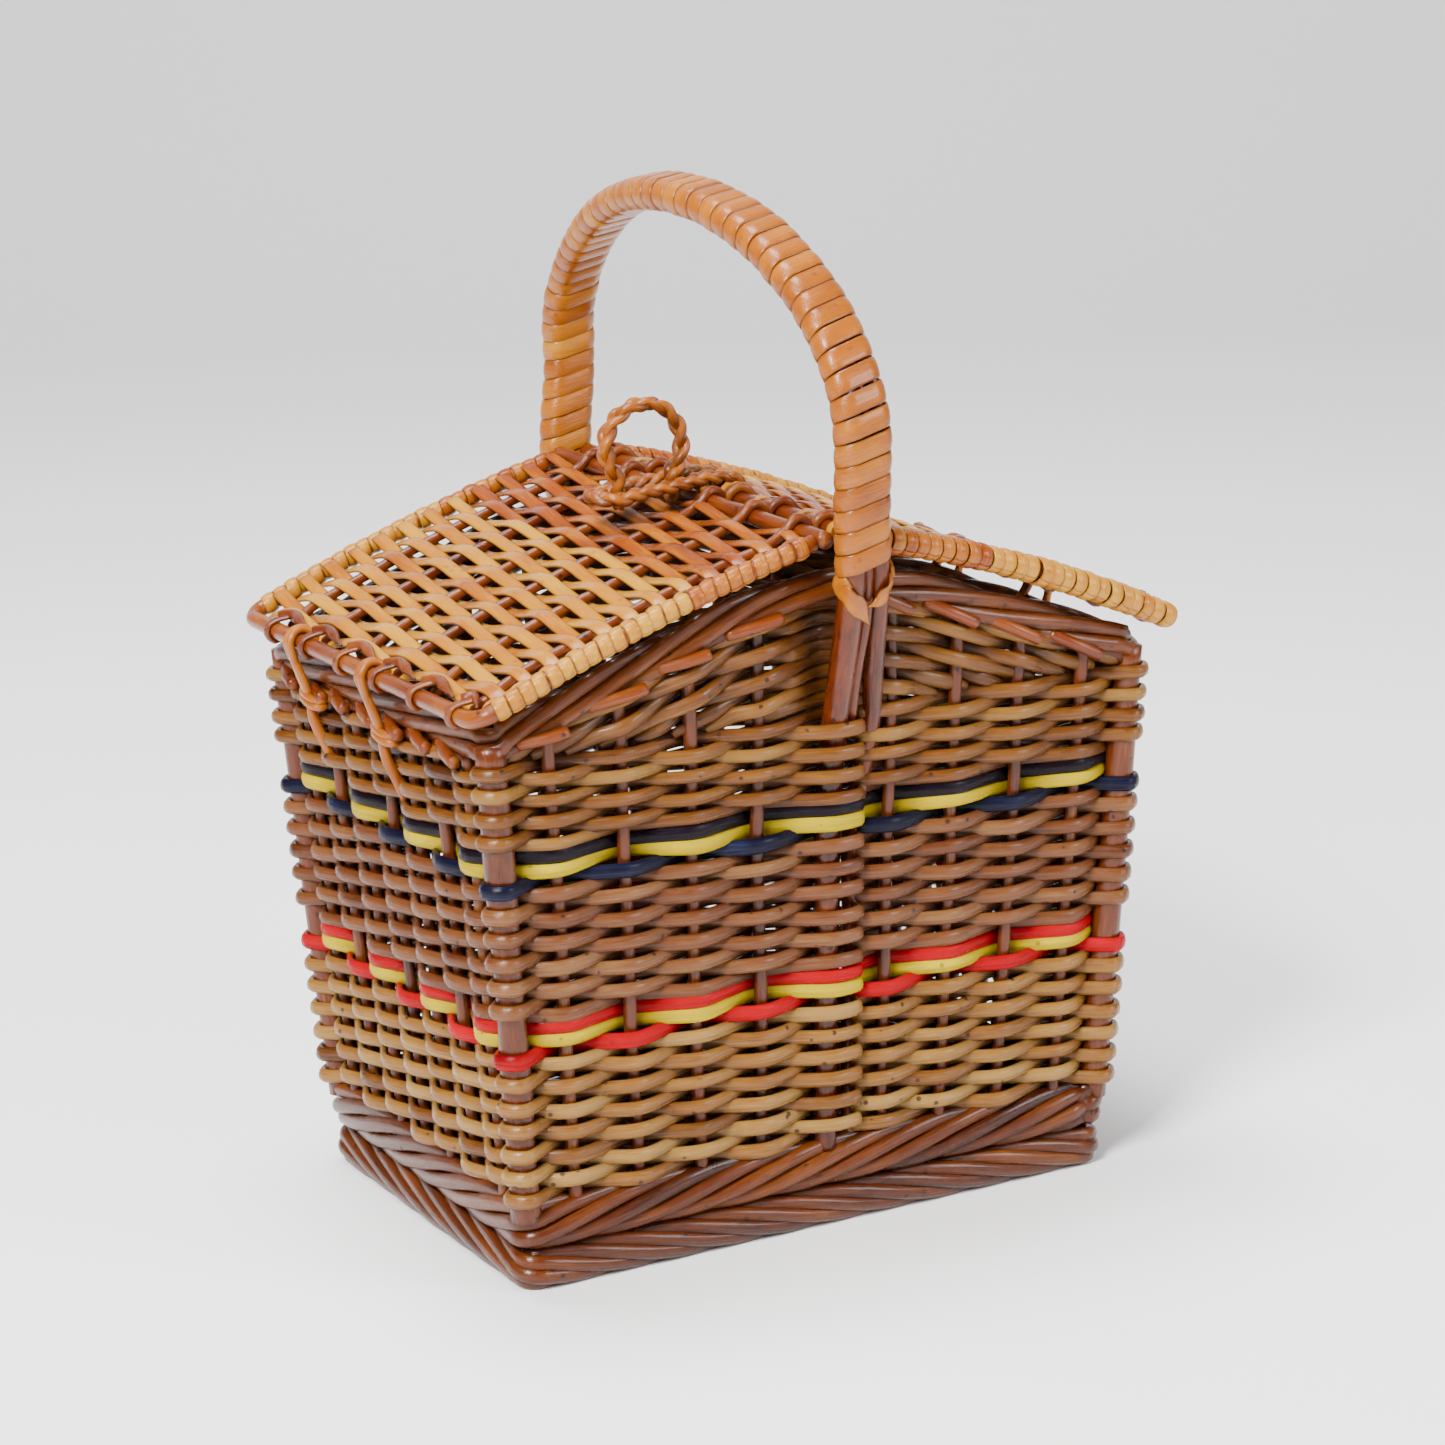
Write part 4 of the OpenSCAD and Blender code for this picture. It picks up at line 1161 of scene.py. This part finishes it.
staple()
hasp()
hinge_loops(-1, "left_loop_canes", "left_hinge_loops")
hinge_loops(1, "right_loop_canes", "right_hinge_loops")


# ---------------- floor, light, camera
VIEW_AZIMUTH = -28.9    # direction of the photo's camera, degrees


def studio():
    """Pale paper floor that sweeps up behind the basket, with three soft lights."""
    mesh = bpy.data.meshes.new("floor")
    s = 6.0
    bend = [(2.2 + 1.2 * math.sin(a), 1.2 - 1.2 * math.cos(a)) for a in np.linspace(0, PI / 2, 12)]
    profile = [(-3.0, 0.0)] + bend + [(3.4, 5.0)]
    v = [(x, y, z) for y, z in profile for x in (-s, s)]
    f = [(2 * i, 2 * i + 1, 2 * i + 3, 2 * i + 2) for i in range(len(profile) - 1)]
    mesh.from_pydata(v, [], f)
    mesh.polygons.foreach_set("use_smooth", [True] * len(mesh.polygons))
    m = bpy.data.materials.new("floor_paper")
    m.use_nodes = True
    bsdf = m.node_tree.nodes["Principled BSDF"]
    bsdf.inputs["Base Color"].default_value = (0.93, 0.93, 0.935, 1)
    bsdf.inputs["Roughness"].default_value = 0.85
    mesh.materials.append(m)
    floor = bpy.data.objects.new("floor", mesh)
    floor.rotation_euler = (0, 0, math.radians(VIEW_AZIMUTH))
    bpy.context.scene.collection.objects.link(floor)

    world = bpy.data.worlds.new("studio")
    world.use_nodes = True
    world.node_tree.nodes["Background"].inputs[0].default_value = (1.0, 1.0, 1.0, 1)
    world.node_tree.nodes["Background"].inputs[1].default_value = 0.24
    bpy.context.scene.world = world
    for name, where, size, power, colour in (
            ("key", (-1.7, -1.2, 2.0), 0.8, 190, (1.0, 0.985, 0.96)),
            ("fill", (1.5, -1.9, 1.3), 0.9, 48, (0.98, 0.99, 1.0)),
            ("top", (-0.2, 0.3, 2.4), 0.9, 84, (1.0, 1.0, 1.0))):
        light = bpy.data.lights.new(name, "AREA")
        light.size = size
        light.energy = power
        light.color = colour
        o = bpy.data.objects.new(name, light)
        o.location = where
        o.rotation_euler = (Vector((0, 0, 0.18)) - Vector(where)).to_track_quat("-Z", "Y").to_euler()
        bpy.context.scene.collection.objects.link(o)


def camera():
    az, el, roll = math.radians(VIEW_AZIMUTH), math.radians(14.3), math.radians(-1.4)
    back = Vector((math.sin(az) * math.cos(el), -math.cos(az) * math.cos(el), math.sin(el)))
    right = Vector((math.cos(az), math.sin(az), 0))
    up = back.cross(right)
    r2 = right * math.cos(roll) + up * math.sin(roll)
    u2 = up * math.cos(roll) - right * math.sin(roll)
    data = bpy.data.cameras.new("camera")
    data.lens = 99.8
    data.sensor_width = 36
    cam = bpy.data.objects.new("camera", data)
    where = Vector((0.006, -0.0038, 0.1899)) + back * 1.639
    cam.matrix_world = Matrix(((r2.x, u2.x, back.x, where.x), (r2.y, u2.y, back.y, where.y),
                               (r2.z, u2.z, back.z, where.z), (0, 0, 0, 1)))
    bpy.context.scene.collection.objects.link(cam)
    bpy.context.scene.camera = cam


studio()
camera()
